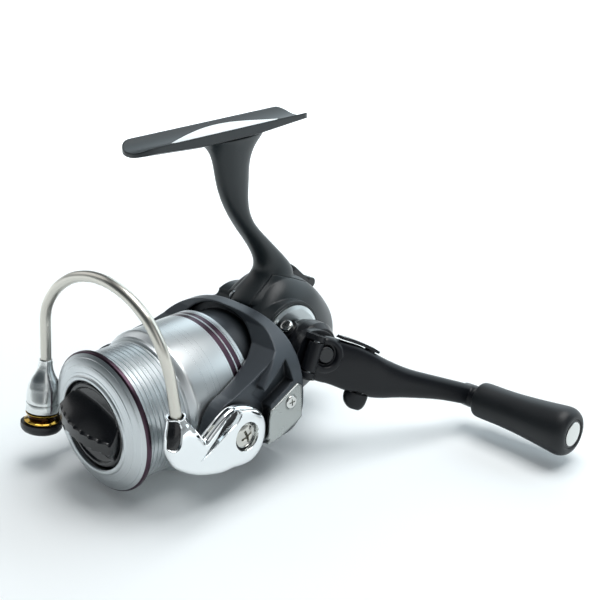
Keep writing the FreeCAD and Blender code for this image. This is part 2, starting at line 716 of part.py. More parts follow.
def oscillation_pinion():
    pitch = 2 * math.pi / OSC_PINION_TEETH
    phase = line_angle() / pitch
    gear = spur(AX, OSC_PINION_TEETH, OSC_MODULE, OSC_X0 - 0.2, OSC_X1 + 0.4, V(0, 0, HANDLE_Z), phase)
    return gear.cut(cyl(AX, 3.5 + SEAT, 0, 20, V(0, 0, HANDLE_Z)))


def oscillation_gear():
    pitch = 2 * math.pi / OSC_TEETH
    phase = (line_angle() + math.pi) / pitch + 0.5
    at = V(0, OSC_Y, OSC_Z)
    gear = spur(AX, OSC_TEETH, OSC_MODULE, OSC_X0, OSC_X1, at, phase)
    axle = cyl(AX, 1.5, OSC_X1, 11.2, at)
    hub = cyl(AX, 2.3, OSC_X1, 7.5, at)
    pin = cyl(AX, OSC_PIN_R, SLIDER_X1 + 0.25, OSC_X0, at + AY * OSC_PIN_REACH)
    return fuse([gear, axle, hub, pin])


# ---- drive shaft and handle ----
def drive_shaft():
    at = V(0, 0, HANDLE_Z)
    gear_x0 = DRIVE_FACE_X - 3.6
    waist0, waist1 = DRIVE_FACE_X + TOOTH_H + 0.1, OSC_X0 - 0.3
    profile = [(-BEARING_X - 1.6, 0.01), (-BEARING_X - 1.6, 3.0), (-BEARING_X + 1.5, 3.0),
               (-BEARING_X + 1.5, 3.5), (waist0, 3.5), (waist0, DRIVE_SHAFT_R),
               (waist1, DRIVE_SHAFT_R), (waist1, 3.5), (BEARING_X - 1.5, 3.5), (BEARING_X - 1.5, 3.0),
               (HUB_X1 - 3.0, 3.0), (HUB_X1 - 3.0, 0.01)]
    shaft = turned(AX, profile, at)
    flange = cyl(AX, 4.6, -BEARING_X + 1.6, gear_x0, at)
    return fuse([shaft, flange])


def handle_hub():
    """The collar that the folding arm is hinged to, with its screw lug."""
    at = V(0, 0, HANDLE_Z)
    collar = turned(AX, [(HUB_X0, 0.01), (HUB_X0, 7.4), (HUB_X0 + 3.0, HUB_OUT_R - 0.6),
                         (HUB_X0 + 6.0, HUB_OUT_R), (HUB_X1 - 3.0, HUB_OUT_R - 0.1),
                         (HUB_X1 - 1.0, HUB_OUT_R - 1.6), (HUB_X1 - 1.0, 0.01)], at)
    flare = loft([oval(crank_dir(0, 0, HUB_X0 + 5.0), crank_way(), fold_axis(),
                       HUB_OUT_R - 0.8, HUB_OUT_R - 0.8, 2.0),
                  oval(crank_dir(EYE_ALONG, EYE_ASIDE, HUB_X1 - GAP), crank_way(), fold_axis(),
                       EYE_R + 1.4, EYE_R + 0.8, 2.5)], True)
    lug = loft([oval(at + AX * LUG_X + LUG_DIR * 5, AX, LUG_DIR.cross(AX), 3.2, 4.2, 2.4),
                oval(at + AX * LUG_X + LUG_DIR * 9.9, AX, LUG_DIR.cross(AX), 2.7, 2.9, 2.4)])
    hub = fuse([collar, flare, lug])
    hub = hub.cut(cyl(AX, 3.0 + SEAT, 0, HUB_X1 - 2.98, at))
    hub = hub.cut(Part.makeCylinder(0.95, 8, at + AX * LUG_X + LUG_DIR * 3.3, LUG_DIR))
    for ear in fold_ears(0):
        hub = hub.fuse(ear)
    return hub.cut(along(fold_point(-9), fold_point(9), PIN_R + CLEAR))


def hub_screw():
    place = V(LUG_X, 0, HANDLE_Z) + LUG_DIR * 9.92
    return pan_screw(place, LUG_DIR, 2.1, 1.7, 0.92, 6.2)


def fold_axis():
    t = math.radians(CRANK_DROP)
    return V(0, math.sin(t), math.cos(t))


def crank_way():
    return crank_dir(1, 0, 0) - crank_dir(0, 0, 0)


def arm_out():
    """Outward normal of the leaning arm."""
    lean = math.radians(ARM_LEAN)
    return AX * math.cos(lean) - crank_way() * math.sin(lean)


def arm_middle(place, aside):
    return crank_dir(place, aside, ARM_X + place * math.tan(math.radians(ARM_LEAN)))


def fold_point(height):
    return crank_dir(FOLD_ALONG, EYE_ASIDE + height, FOLD_X)


def fold_ears(extra):
    """The collar's two ears, above and below the arm's barrel."""
    ears = []
    out = fold_axis()
    for side in (-1, 1):
        start = fold_point(side * (TANG_HALF + GAP - extra))
        thick = EAR_TOP - TANG_HALF - GAP + 2 * extra
        ear = Part.makeCylinder(BARREL_R + extra, thick, start, out * side)
        wide = BARREL_R + extra
        foot = crank_dir(FOLD_ALONG - wide, EYE_ASIDE + side * (TANG_HALF + GAP - extra),
                         HUB_X1 - 0.6)
        way = AX * (FOLD_X - HUB_X1 + 0.6)
        across = crank_way()
        points = [foot, foot + across * (2 * wide), foot + across * (2 * wide) + way, foot + way]
        ears.append(ear.fuse(prism(points, out * (side * thick))))
    return ears


def handle_arm():
    """A leaning bar with a round root, hinged beside the handle axis, and a boss for the knob."""
    across, out = fold_axis(), arm_out()
    wires = [oval(arm_middle(place, aside), across, out, high, thick, 2.8)
             for place, aside, high, thick in ARM_STATIONS]
    eye = Part.makeCylinder(EYE_R, 2 * EYE_HALF_T,
                            arm_middle(EYE_ALONG, EYE_ASIDE) - out * EYE_HALF_T, out)
    low = crank_dir(FOLD_ALONG, -20, 0)
    keep = prism([low, low + crank_way() * 60, low + crank_way() * 60 + AX * 60, low + AX * 60],
                 across * 40)
    root = eye.common(keep.fuse(along(fold_point(-12), fold_point(12), BARREL_R)))
    barrel = along(fold_point(-TANG_HALF), fold_point(TANG_HALF), BARREL_R)
    boss = cyl(AX, 3.7, 49.6, KNOB_X0 - 0.8, knob_centre(0))
    arm = fuse([loft(wires), root, barrel, boss])
    arm = arm.cut(box(0, HUB_X1, -60, 60, -60, 60))
    for ear in fold_ears(GAP):
        arm = arm.cut(ear)
    arm = arm.cut(along(fold_point(-9), fold_point(9), PIN_R + SEAT))
    arm = arm.cut(cyl(AX, SPINDLE_R + SEAT, 50, 60, knob_centre(0)))
    face = button_place()
    arm = arm.cut(Part.makeCylinder(BUTTON_DISH_R, 4, face - out * 0.6, out))
    well = BUTTON_T - BUTTON_PROUD + BUTTON_TRAVEL + GAP
    arm = arm.cut(Part.makeCylinder(BUTTON_R + CLEAR, well + 4, face - out * well, out))
    return arm.cut(latch_cutter())


def arm_pivot_pin():
    return along(fold_point(-EAR_TOP), fold_point(EAR_TOP), PIN_R)


def button_place():
    """Middle of the button's hole, on the arm's outer face."""
    return arm_middle(BUTTON_ALONG, BUTTON_ASIDE) + arm_out() * EYE_HALF_T


def fold_button():
    """Push button in the arm's eye."""
    out = arm_out()
    top = button_place() + out * BUTTON_PROUD
    body = Part.makeCylinder(BUTTON_R, BUTTON_T, top - out * BUTTON_T, out)
    return rounded(body, 0.5, lambda e: e.distToShape(Part.Vertex(top))[0] < BUTTON_R + 0.01
                   and len(e.Vertexes) == 1)


def latch_oval(height, half, thick, shift=0.0):
    """A section of the latch's push boss, at a height across the arm."""
    place = LATCH_ALONG + shift
    return oval(arm_middle(place, height), crank_way() * math.cos(math.radians(ARM_LEAN))
                + AX * math.sin(math.radians(ARM_LEAN)), arm_out(), half, thick, 2.3)


def latch_cutter():
    """The plunger's bore, with a pocket that its push boss slides into."""
    base = arm_middle(LATCH_ALONG, -15)
    bore = Part.makeCylinder(LATCH_R + CLEAR, 30, base, fold_axis())
    pocket = Part.Face(latch_oval(-12, LATCH_BOSS + GAP, 2.3 + GAP))
    return bore.fuse(pocket.extrude(fold_axis() * (12 - 8.6 + LATCH_TRAVEL + GAP)))


def fold_latch():
    """A spring-loaded plunger across the arm: a thin tab above, a round push boss below."""
    stem = along(arm_middle(LATCH_ALONG, -10), arm_middle(LATCH_ALONG, 6.0), LATCH_R)
    boss = loft([latch_oval(-8.6, LATCH_BOSS, 2.3), latch_oval(-10.6, LATCH_BOSS, 2.3),
                 latch_oval(-12.6, 3.1, 2.0, 0.3), latch_oval(-13.7, 1.7, 1.2, 0.6)])
    outline = [(0.6, 6.45), (4.0, 6.35), (8.0, 6.05), (11.0, 5.6), (13.4, 5.1), (13.6, 5.9),
               (11.0, 6.6), (8.0, 7.05), (4.0, 7.35), (1.0, 7.3)]
    tab = prism([arm_middle(a, c) - arm_out() * 2.0 for a, c in outline], arm_out() * 4.0)
    return fuse([stem, boss, tab])


def knob_spindle():
    at = knob_centre(0)
    shaft = cyl(AX, SPINDLE_R, 50.6, KNOB_X1 - 4.0, at)
    collar = cyl(AX, 2.9, KNOB_X0 - 0.8, KNOB_X0 - GAP, at)
    head = cyl(AX, 2.5, KNOB_X1 - 5.2, KNOB_X1 - 4.0, at)
    return fuse([shaft, collar, head])


def handle_knob():
    at = knob_centre(0)
    profile = [(KNOB_X0, 3.4), (KNOB_X0, KNOB_R0 - 1.0), (KNOB_X0 + 0.8, KNOB_R0),
               (KNOB_X0 + 5, KNOB_R0 + 0.1), (KNOB_X0 + 12, KNOB_R0 + 0.5),
               (KNOB_X0 + 20, KNOB_R0 + 1.2), (KNOB_X1 - 6, KNOB_R1), (KNOB_X1 - 2.4, KNOB_R1 - 0.2),
               (KNOB_X1 - 0.7, KNOB_R1 - 1.2), (KNOB_X1, KNOB_R1 - 2.6), (KNOB_X1, 4.6),
               (KNOB_X1 - 1.0, 4.6), (KNOB_X1 - 1.0, 3.4)]
    return turned(AX, profile, at)


def knob_cap():
    at = knob_centre(0)
    return turned(AX, [(KNOB_X1 - 0.98, 0.01), (KNOB_X1 - 0.98, 4.55), (KNOB_X1 - 0.2, 4.55),
                       (KNOB_X1 + 0.1, 3.8), (KNOB_X1 + 0.1, 0.01)], at)


def knob_bushes():
    at = knob_centre(0)
    return Part.makeCompound([tube(AX, 3.4 - SEAT, SPINDLE_R + CLEAR, x, x + 4, at)
                              for x in (KNOB_X0 + 0.2, KNOB_X1 - 9.4)])


# ---- rotor ----
def rotor_side_outline(side):
    """The rotor seen from the side: a rim behind, and an arm that runs forward to the bail axis.

    The arms' roots repeat by a half turn about the spool axis, for balance.
    """
    tip = []
    for a in range(95, 266, 10):
        t = math.radians(a)
        tip.append((PIVOT_Y + ARM_TIP_R * math.cos(t), PIVOT_Z + ARM_TIP_R * math.sin(t)))
    high = [(ROTOR_REAR, 26), (RIM_FRONT, 26), (RIM_FRONT - 0.3, 20.6), (-19.6, 16.0),
            (-24.0, 13.0), (-30.5, 9.9)]
    low = [(ROTOR_REAR, 26), (RIM_FRONT, 26), (RIM_FRONT - 0.3, 18.0), (-18.6, 13.4),
           (-22.0, 11.4), (-30.0, 10.6)]
    if side > 0:
        return high + tip + [(y, -z) for y, z in reversed(low)]
    return low + tip + [(y, -z) for y, z in reversed(high)]


def rim_oval(power):
    return oval(V(0, ROTOR_REAR, 0), AX, AZ, RIM_HALF_X, RIM_HALF_Z, power, 40)


def rotor():
    rim = Part.Face(rim_oval(RIM_POWER)).extrude(V(0, -40, 0))
    roots = Part.Face(rim_oval(ROOT_POWER)).extrude(V(0, -40, 0))
    shell = None
    for side in (-1, 1):
        half = box(0, 40, -80, 0, -40, 40) if side > 0 else box(-40, 0, -80, 0, -40, 40)
        root = roots.common(box(0, 40, -80, 0, 0, 40) if side > 0 else box(-40, 0, -80, 0, -40, 0))
        part = rim.common(half).fuse(root).common(side_prism(rotor_side_outline(side), -40, 40))
        shell = part if shell is None else shell.fuse(part)
    inner = SKIRT_R + 0.6
    room = cyl(AY, inner, -70, ROTOR_REAR - BASE_T)
    shell = shell.cut(room)
    for side in (-1, 1):
        lug = Part.makeCylinder(ARM_TIP_R + 18.5, 8, V(side * HOLDER_IN_X, PIVOT_Y, PIVOT_Z), AX * side)
        shell = shell.cut(lug.cut(side_prism(ARM_KEEP[side], -40, 40)))
        shell = shell.cut(Part.makeCylinder(EAR_R + 0.35, 8, V(side * HOLDER_IN_X, PIVOT_Y, PIVOT_Z),
                                            AX * side))
    drum = tube(AY, ROTOR_DRUM_R, ROTOR_DRUM_R - ROTOR_DRUM_WALL, ROTOR_WEB_FRONT, ROTOR_REAR)
    web = cyl(AY, ROTOR_DRUM_R - 0.5, ROTOR_WEB_FRONT, ROTOR_WEB_FRONT + ROTOR_WEB_T)
    hub = cyl(AY, 6.4, ROTOR_WEB_FRONT, SLEEVE_FRONT - 0.1)
    shell = fuse([shell, drum, web, hub])
    shell = shell.cut(cyl(AY, ROTOR_DRUM_R - ROTOR_DRUM_WALL, ROTOR_WEB_FRONT + ROTOR_WEB_T,
                          ROTOR_REAR + 5).cut(hub))
    shell = shell.cut(cyl(AY, PINION_SLEEVE_R + SEAT, -60, 0))
    for side in (-1, 1):
        shell = shell.cut(side_prism(COVER, side * (COVER_X0 - SEAT), side * 40))
        shell = shell.cut(cyl(AX * side, 1.0, 20, 40, V(0, COVER_SCREW[0], COVER_SCREW[1])))
        shell = shell.cut(cyl(AX * side, 1.7, 20, 40, V(0, PIVOT_Y, PIVOT_Z)))
    shell = shell.cut(side_prism(WINDOW, 27.4, 36))
    shell = shell.cut(cyl(AY, 0.95, ROTOR_WEB_FRONT - 1, ROTOR_WEB_FRONT + 5, V(LOCK_R, 0, 0)))
    shell = shell.cut(spring_room())
    for side in (-1, 1):
        shell = shell.cut(heel_room(side))
    return shell


def heel_room(side):
    """Where the heel of a bail end passes the lower corner of a rotor arm."""
    swept = cyl(AX * side, HEEL_R, HOLDER_IN_X - 0.3, 40, V(0, PIVOT_Y, PIVOT_Z))
    return swept.common(box(-60, 60, PIVOT_Y, 0, -40, HEEL_TOP))


def arm_cover(side):
    """Metal cover screwed on the outside of a rotor arm."""
    plate = side_prism(COVER, side * COVER_X0, side * COVER_X1).cut(heel_room(side))
    at = V(0, COVER_SCREW[0], COVER_SCREW[1])
    return plate.cut(cyl(AX * side, 1.05, 20, 40, at)).cut(cyl(AX * side, 2.2, COVER_X1 - 0.6, 40, at))


def arm_cover_screws():
    return Part.makeCompound([
        pan_screw(V(side * (COVER_X1 - 0.59), COVER_SCREW[0], COVER_SCREW[1]), AX * side,
                  2.1, 1.0, 0.98, 5.5) for side in (-1, 1)])


def rotor_nut():
    y0 = ROTOR_WEB_FRONT - NUT_T
    points = [V(5.6 * math.cos(math.radians(a)), y0, 5.6 * math.sin(math.radians(a)))
              for a in range(0, 360, 60)]
    return prism(points, AY * (NUT_T - SEAT)).cut(cyl(AY, PINION_SLEEVE_R + SEAT, -60, 0))


def nut_lock_plate():
    plate = cyl(AY, 1.9, ROTOR_WEB_FRONT - 0.8, ROTOR_WEB_FRONT - SEAT, V(LOCK_R, 0, 0))
    ring = box(5.7, LOCK_R, ROTOR_WEB_FRONT - 0.8, ROTOR_WEB_FRONT - SEAT, -1.4, 1.4)
    return plate.fuse(ring).cut(cyl(AY, 0.97, -60, 0, V(LOCK_R, 0, 0)))


def nut_lock_screw():
    return pan_screw(V(LOCK_R, ROTOR_WEB_FRONT - 0.82, 0), AY * -1, 1.7, 1.0, 0.9, 4.0)


def clutch_sleeve():
    return tube(AY, SLEEVE_OUT_R, PINION_SLEEVE_R + SEAT, SLEEVE_FRONT, PINION_BEARING_Y - 0.2)


def spring_room():
    return cyl(AY, 1.9, SPRING_Y0 - 0.2, SPRING_Y1 + 0.2, SPRING_AT)


def bail_spring():
    """Coil spring and its rod, in the line-roller arm of the rotor."""
    helix = Part.makeHelix(1.7, SPRING_Y1 - SPRING_Y0 - 0.8, 1.2)
    wire = Part.Wire(helix.Edges)
    section = Part.Wire(Part.Circle(V(1.2, 0, 0), AY, 0.28).toShape())
    coil = wire.makePipeShell([section], True, True)
    coil.rotate(V(0, 0, 0), AX, 90)
    coil.translate(SPRING_AT + AY * (SPRING_Y1 - 0.4))
    rod = cyl(AY, 0.7, SPRING_Y0, SPRING_Y1, SPRING_AT)
    return Part.makeCompound([coil, rod])


# ---- bail ----
def holder_outline():
    points = []
    for a in range(-100, 131, 10):
        t = math.radians(a)
        points.append((PIVOT_Y + EAR_R * math.cos(t), PIVOT_Z + EAR_R * math.sin(t)))
    front = [(-46.2, 4.4), (-51.6, 0.6), (-54.6, 4.8), (-56.4, 8.2), (-60.6, 9.6), (-63.4, 8.4),
             (-64.8, 2.0), (-63.6, -2.6), (-58.6, -6.8), (-51.6, -10.1), (-44.7, -12.0)]
    return points + front


def bail_holder():
    plate = side_prism(holder_outline(), HOLDER_IN_X, HOLDER_IN_X + EAR_T)
    plate = rounded(plate, 1.1, lambda e: abs(e.CenterOfMass.x - HOLDER_IN_X - EAR_T) < 0.01
                    and abs(e.BoundBox.XLength) < 0.01)
    socket = Part.makeCone(4.2, 3.1, 9.0, SOCKET_TOP - SOCKET_WAY * 9.0, SOCKET_WAY)
    holder = fuse([plate, socket])
    holder = holder.cut(Part.makeCylinder(2.4, 8, SOCKET_TOP - SOCKET_WAY * 6.0, SOCKET_WAY))
    holder = holder.cut(pivot_bore(1))
    return holder


def pivot_bore(side):
    at = V(0, PIVOT_Y, PIVOT_Z)
    outer = HOLDER_IN_X + EAR_T
    return cyl(AX * side, 1.9 + SEAT, 20, 40, at).fuse(cyl(AX * side, SCREW_R + 0.2, outer - 0.9, 40, at))


def bail_pivot_screws():
    outer = HOLDER_IN_X + EAR_T
    screws = []
    for side in (-1, 1):
        place = V(side * (outer - 0.88), PIVOT_Y, PIVOT_Z)
        screw = pan_screw(place, AX * side, SCREW_R, 1.5, 1.9, outer - 0.88 - HOLDER_IN_X - 0.1)
        tail = cyl(AX * side, 1.62, ARM_IN_X + 0.6, HOLDER_IN_X + 0.2, V(0, PIVOT_Y, PIVOT_Z))
        screws.append(screw.fuse(tail))
    return Part.makeCompound(screws)




def roller_at(s):
    return ROLLER_FOOT + ROLLER_DIR * s


def bail_wire():
    start = SOCKET_TOP - SOCKET_WAY * 4.5
    end = roller_at(CUP_H + ROLLER_L + 16.6)
    return wire_tube([start] + WIRE_POINTS + [end], WIRE_R)


def wire_socket_cup():
    start = SOCKET_TOP - SOCKET_WAY * 5.95
    return Part.makeCylinder(2.4 - SEAT, 5.2, start, SOCKET_WAY).cut(bail_wire())


def line_arm():
    """The black arm that carries the line roller, from its pivot to the cup under the roller."""
    outline = []
    for a in range(-110, 111, 10):
        t = math.radians(a)
        outline.append((PIVOT_Y + EAR_R * math.cos(t), PIVOT_Z + EAR_R * math.sin(t)))
    outline += [(-46.0, 2.6), (-54.0, -1.6), (-59.4, -6.2), (-66.0, -9.6), (-67.0, -12.7),
                (-62.0, -13.4), (-52.0, -13.2), (-44.0, -12.6)]
    plate = side_prism(outline, -HOLDER_IN_X - EAR_T, -HOLDER_IN_X)
    plate = plate.cut(Part.makeCylinder(ROLLER_R + 0.6, 40, roller_at(CUP_H), ROLLER_DIR))
    cup = Part.makeCylinder(CUP_R, CUP_H - 0.1, roller_at(0), ROLLER_DIR)
    cup = rounded(cup, 2.2, lambda e: (e.CenterOfMass - roller_at(0)).Length < 0.01)
    arm = fuse([plate, cup])
    return arm.cut(pivot_bore(-1)).cut(
        Part.makeCylinder(1.5 + SEAT, 20, roller_at(0.8), ROLLER_DIR))


def bail_arm_cam():
    """The chromed bell between the wire and the line roller."""
    base = CUP_H + ROLLER_L + 0.2
    profile = [(base, 1.55), (base, 4.9), (base + 0.3, 5.1), (base + 2.6, 5.1), (base + 2.9, 4.8),
               (base + 3.2, 4.95), (base + 4.6, 5.1), (base + 6.5, 5.05), (base + 8.2, 4.8),
               (base + 9.7, 4.35), (base + 11.2, 3.6), (base + 12.6, 2.85), (base + 13.8, 2.4),
               (base + 15.0, 2.15), (base + 16.6, 2.05),
               (base + 16.6, WIRE_R + SEAT), (base + 12.0, WIRE_R + SEAT), (base + 11.6, 1.55)]
    bell = turned(ROLLER_DIR, profile, roller_at(0))
    return bell.cut(bail_wire())


def roller_screw():
    """The pin that the line roller turns on; it ties arm and bell together."""
    base = CUP_H + ROLLER_L + 0.2
    return Part.makeCylinder(1.5, base + 8.0 - 0.9, roller_at(0.9), ROLLER_DIR)


def line_roller():
    low, high = CUP_H + 0.05, CUP_H + ROLLER_L
    mid = (low + high) / 2
    profile = [(low, 2.6 + SEAT), (low, ROLLER_R), (low + 0.5, ROLLER_R), (mid - 0.5, ROLLER_R - 1.0),
               (mid + 0.5, ROLLER_R - 1.0), (high - 0.5, ROLLER_R - 0.2), (high, ROLLER_R - 0.2),
               (high, 2.6 + SEAT)]
    return turned(ROLLER_DIR, profile, roller_at(0))


def roller_bush():
    low, high = CUP_H + 0.05, CUP_H + ROLLER_L
    return turned(ROLLER_DIR, [(low, 1.5 + CLEAR), (low, 2.6), (high, 2.6), (high, 1.5 + CLEAR)],
                  roller_at(0))


# ---- shaft, spool and drag ----
def main_shaft():
    shaft = cyl(AY, SHAFT_R, SHAFT_FRONT, SHAFT_REAR)
    shaft = shaft.cut(box(1.35, 3, SHAFT_FRONT - 1, -58, -3, 3))
    shaft = shaft.cut(box(-3, -1.35, SHAFT_FRONT - 1, -58, -3, 3))
    return shaft.cut(cyl(AZ, 0.85, -5, 0.4, V(0, SLIDER_Y1 - 1.6, 0)))


def oscillation_slider():
    block = box(SLIDER_X0, SLIDER_X1, SLIDER_Y0, SLIDER_Y1, -SLIDER_TOP, SLIDER_TOP)
    ear = box(GUIDE_AT.x - GUIDE_R - 0.5, SLIDER_X0 + 0.1, SLIDER_Y0, SLIDER_Y1,
              GUIDE_AT.z - GUIDE_R - 0.6, GUIDE_AT.z + GUIDE_R + 0.6)
    block = block.fuse(ear)
    block = block.cut(cyl(AY, SHAFT_R + SEAT, 0, SHAFT_REAR + 0.02))
    middle, half = OSC_Y + STROKE / 2, OSC_PIN_R + 0.12
    block = block.cut(box(SLIDER_X1 - 0.9, SLIDER_X1 + 1, middle - half, middle + half,
                          0.5 - SLIDER_TOP, SLIDER_TOP - 0.5))
    block = block.cut(box(SLIDER_X0 - 1, SLIDER_X1 + 1, SLIDER_Y0 - 1, middle - half - 0.5,
                          HANDLE_Z - DRIVE_SHAFT_R - 0.5, 20))
    block = block.cut(cyl(AY, GUIDE_R + CLEAR, 0, 40, GUIDE_AT))
    return block.cut(cyl(AZ, 0.95, -20, 0, V(0, SLIDER_Y1 - 1.6, 0)))


def slider_screw():
    return pan_screw(V(0, SLIDER_Y1 - 1.6, -SLIDER_TOP - 0.02), AZ * -1, 1.5, 0.8, 0.83, 7.4)


def spool_seat():
    """Disc and sleeve fixed on the shaft, which the spool turns on when the drag slips."""
    disc = tube(AY, 11.4, SHAFT_R + SEAT, -47.0, -45.4)
    sleeve = tube(AY, SLEEVE_R, SHAFT_R + SEAT, -57.6, -46.9)
    return disc.fuse(sleeve)


def spool():
    groove = 0.35
    pitch = (DRUM_REAR - DRUM_FRONT) / GROOVES
    drum = []
    for i in range(GROOVES):
        y = DRUM_FRONT + pitch * i
        drum += [(y + 0.25 * pitch, DRUM_R), (y + 0.4 * pitch, DRUM_R - groove),
                 (y + 0.75 * pitch, DRUM_R - groove), (y + 0.9 * pitch, DRUM_R)]
    outer = [(LIP_FRONT, MOUTH_R), (LIP_FRONT + 0.5, MOUTH_R + 1.4), (LIP_REAR - 1.2, LIP_R - 0.3),
             (LIP_REAR - 0.9, LIP_R), (LIP_REAR, LIP_R), (DRUM_FRONT, DRUM_R)] + drum
    outer += [(DRUM_REAR, DRUM_R), (DRUM_REAR + 0.3, DRUM_R + 0.9), (DRUM_REAR + 1.1, DRUM_R + 1.0),
              (DRUM_REAR + 3.4, SKIRT_R), (SKIRT_REAR, SKIRT_R), (SKIRT_REAR, SKIRT_R - SKIRT_WALL),
              (DRUM_REAR + 3.6, SKIRT_R - SKIRT_WALL), (-47.4, 19.0), (-60.4, 18.6), (-60.4, 15.0),
              (-49.8, 15.0), (-49.8, HUB_R), (-47.3, HUB_R), (-47.3, SLEEVE_R + CLEAR),
              (POCKET_FLOOR, SLEEVE_R + CLEAR), (POCKET_FLOOR, POCKET_R), (LIP_FRONT + 0.6, POCKET_R),
              (LIP_FRONT, MOUTH_R - 0.2)]
    return turned(AY, outer)


def drag_washers():
    stack = []
    for i in range(WASHERS):
        y1 = POCKET_FLOOR - 0.03 - i * (WASHER_T + 0.02)
        stack.append(tube(AY, POCKET_R - 0.4, SLEEVE_R + 0.3, y1 - WASHER_T, y1))
    return Part.makeCompound(stack)


def stack_front():
    return POCKET_FLOOR - 0.03 - WASHERS * (WASHER_T + 0.02)


def washer_retainer():
    """The sprung wire ring that holds the washers in, sunk into the pocket's wall."""
    y = stack_front() - 0.45
    ring = Part.makeTorus(POCKET_R - 0.42, 0.4, V(0, y, 0), AY)
    return ring.cut(box(-1.4, 1.4, y - 1, y + 1, 0, 20))


def spool_clicker():
    """Click pawl and its pivot in the spool's back, beside the seat's disc."""
    body = cyl(AY, 1.8, -49.75, -48.0, V(0, 0, 9.0))
    tooth = box(-0.6, 0.6, -49.0, -48.0, 5.9, 9.0)
    return body.fuse(tooth)


def drag_knob():
    """Dished knob with a broad wedge across it, whose ridge is stepped along both edges."""
    disc = turned(AY, [(-66.8, 0.01), (-66.8, 11.3), (-67.3, 11.9), (-67.35, 12.4),
                       (-66.7, KNOB_RIM_R), (-60.4, KNOB_RIM_R), (-60.4, 11.2), (-65.6, 11.2),
                       (-65.6, 0.01)])
    post = tube(AY, 5.2, SHAFT_R + 0.3, -66.2, -60.4)
    half = [(6.0, -66.0), (5.2, -67.6), (FIN_HALF + 0.5, -72.6), (FIN_HALF, -74.2)]
    section = half + [(-across, along_y) for across, along_y in reversed(half)]
    fin = prism([V(-14.0, y, z) for z, y in section], AX * 28.0)
    fin = fin.common(turned(AY, [(-65.8, 0.01), (-65.8, 12.2), (-68.4, 12.2), (-70.0, 12.0),
                                 (-72.2, 10.4), (-73.5, 7.6), (-74.1, 4.0), (-74.2, 0.01)]))
    for i in range(-3, 4):
        for side in (-1, 1):
            step = prism([V(side * (i * FIN_STEP - 1.2), -75, side * (FIN_HALF + 1.2)),
                          V(side * (i * FIN_STEP + 0.5), -75, side * (FIN_HALF + 1.2)),
                          V(side * (i * FIN_STEP + 0.5), -75, side * (FIN_HALF - 0.7))], AY * 3.2)
            fin = fin.cut(step)
    fin.rotate(V(0, 0, 0), AY, FIN_TURN)
    bore = cyl(AY, SHAFT_R + 0.3, -69.6, -50)
    return fuse([disc, post, fin]).cut(nut_room()).cut(bore)


def nut_room():
    points = [V(3.9 * math.cos(math.radians(a)), NUT_Y0 - 0.02, 3.9 * math.sin(math.radians(a)))
              for a in range(0, 360, 60)]
    return prism(points, AY * (NUT_Y1 - NUT_Y0 + 10))


def drag_nut():
    points = [V(3.85 * math.cos(math.radians(a)), NUT_Y0, 3.85 * math.sin(math.radians(a)))
              for a in range(0, 360, 60)]
    nut = prism(points, AY * (NUT_Y1 - NUT_Y0)).cut(cyl(AY, SHAFT_R + CLEAR, -80, 0))
    spring = tube(AY, 3.3, 2.6, NUT_Y1 + SEAT, DRAG_SPRING_REAR)
    return Part.makeCompound([nut, spring])


# ---- everything, by node name ----
def build():
    whole = whole_body()
    return {
        "body_frame": body_frame(whole),
        "side_cover": side_cover(whole),
        "foot_plate": foot_plate(),
        "cover_screws": cover_screws(),
        "bearing_cap": bearing_cap(),
        "left_port_cap": left_port_cap(),
        "drive_bearings": drive_bearings(),
        "pinion_bearing": pinion_bearing(),
        "pinion_bush": pinion_bush(),
        "clutch_housing": clutch_housing(),
        "clutch_rollers": clutch_rollers(),
        "clutch_cage": clutch_cage(),
        "clutch_plate": clutch_plate(),
        "clutch_screws": clutch_screws(),
        "guide_rod": guide_rod(),
        "stopper_lever": stopper_lever(),
        "drive_gear": drive_gear(),
        "drive_shaft": drive_shaft(),
        "oscillation_pinion": oscillation_pinion(),
        "oscillation_gear": oscillation_gear(),
        "handle_hub": handle_hub(),
        "hub_screw": hub_screw(),
        "handle_arm": handle_arm(),
        "arm_pivot_pin": arm_pivot_pin(),
        "fold_button": fold_button(),
        "fold_latch": fold_latch(),
        "knob_spindle": knob_spindle(),
        "handle_knob": handle_knob(),
        "knob_cap": knob_cap(),
        "knob_bushes": knob_bushes(),
        "pinion": pinion(),
        "rotor": rotor(),
        "rotor_nut": rotor_nut(),
        "nut_lock_plate": nut_lock_plate(),
        "nut_lock_screw": nut_lock_screw(),
        "arm_cover_right": arm_cover(1),
        "arm_cover_left": arm_cover(-1),
        "arm_cover_screws": arm_cover_screws(),
        "clutch_sleeve": clutch_sleeve(),
        "bail_spring": bail_spring(),
        "bail_holder": bail_holder(),
        "bail_pivot_screws": bail_pivot_screws(),
        "bail_wire": bail_wire(),
        "wire_socket_cup": wire_socket_cup(),
        "line_arm": line_arm(),
        "bail_arm_cam": bail_arm_cam(),
        "roller_screw": roller_screw(),
        "line_roller": line_roller(),
        "roller_bush": roller_bush(),
        "main_shaft": main_shaft(),
        "oscillation_slider": oscillation_slider(),
        "slider_screw": slider_screw(),
        "spool_seat": spool_seat(),
        "spool": spool(),
        "drag_washers": drag_washers(),
        "washer_retainer": washer_retainer(),
        "spool_clicker": spool_clicker(),
        "drag_knob": drag_knob(),
        "drag_nut": drag_nut(),
    }


os.makedirs("parts", exist_ok=True)
origin = V(0, FOOT_Y, saddle_bottom())
for name, shape in build().items():
    shape.translate(origin * -1)
    shape.exportStep("parts/" + name + ".step")
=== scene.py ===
import math

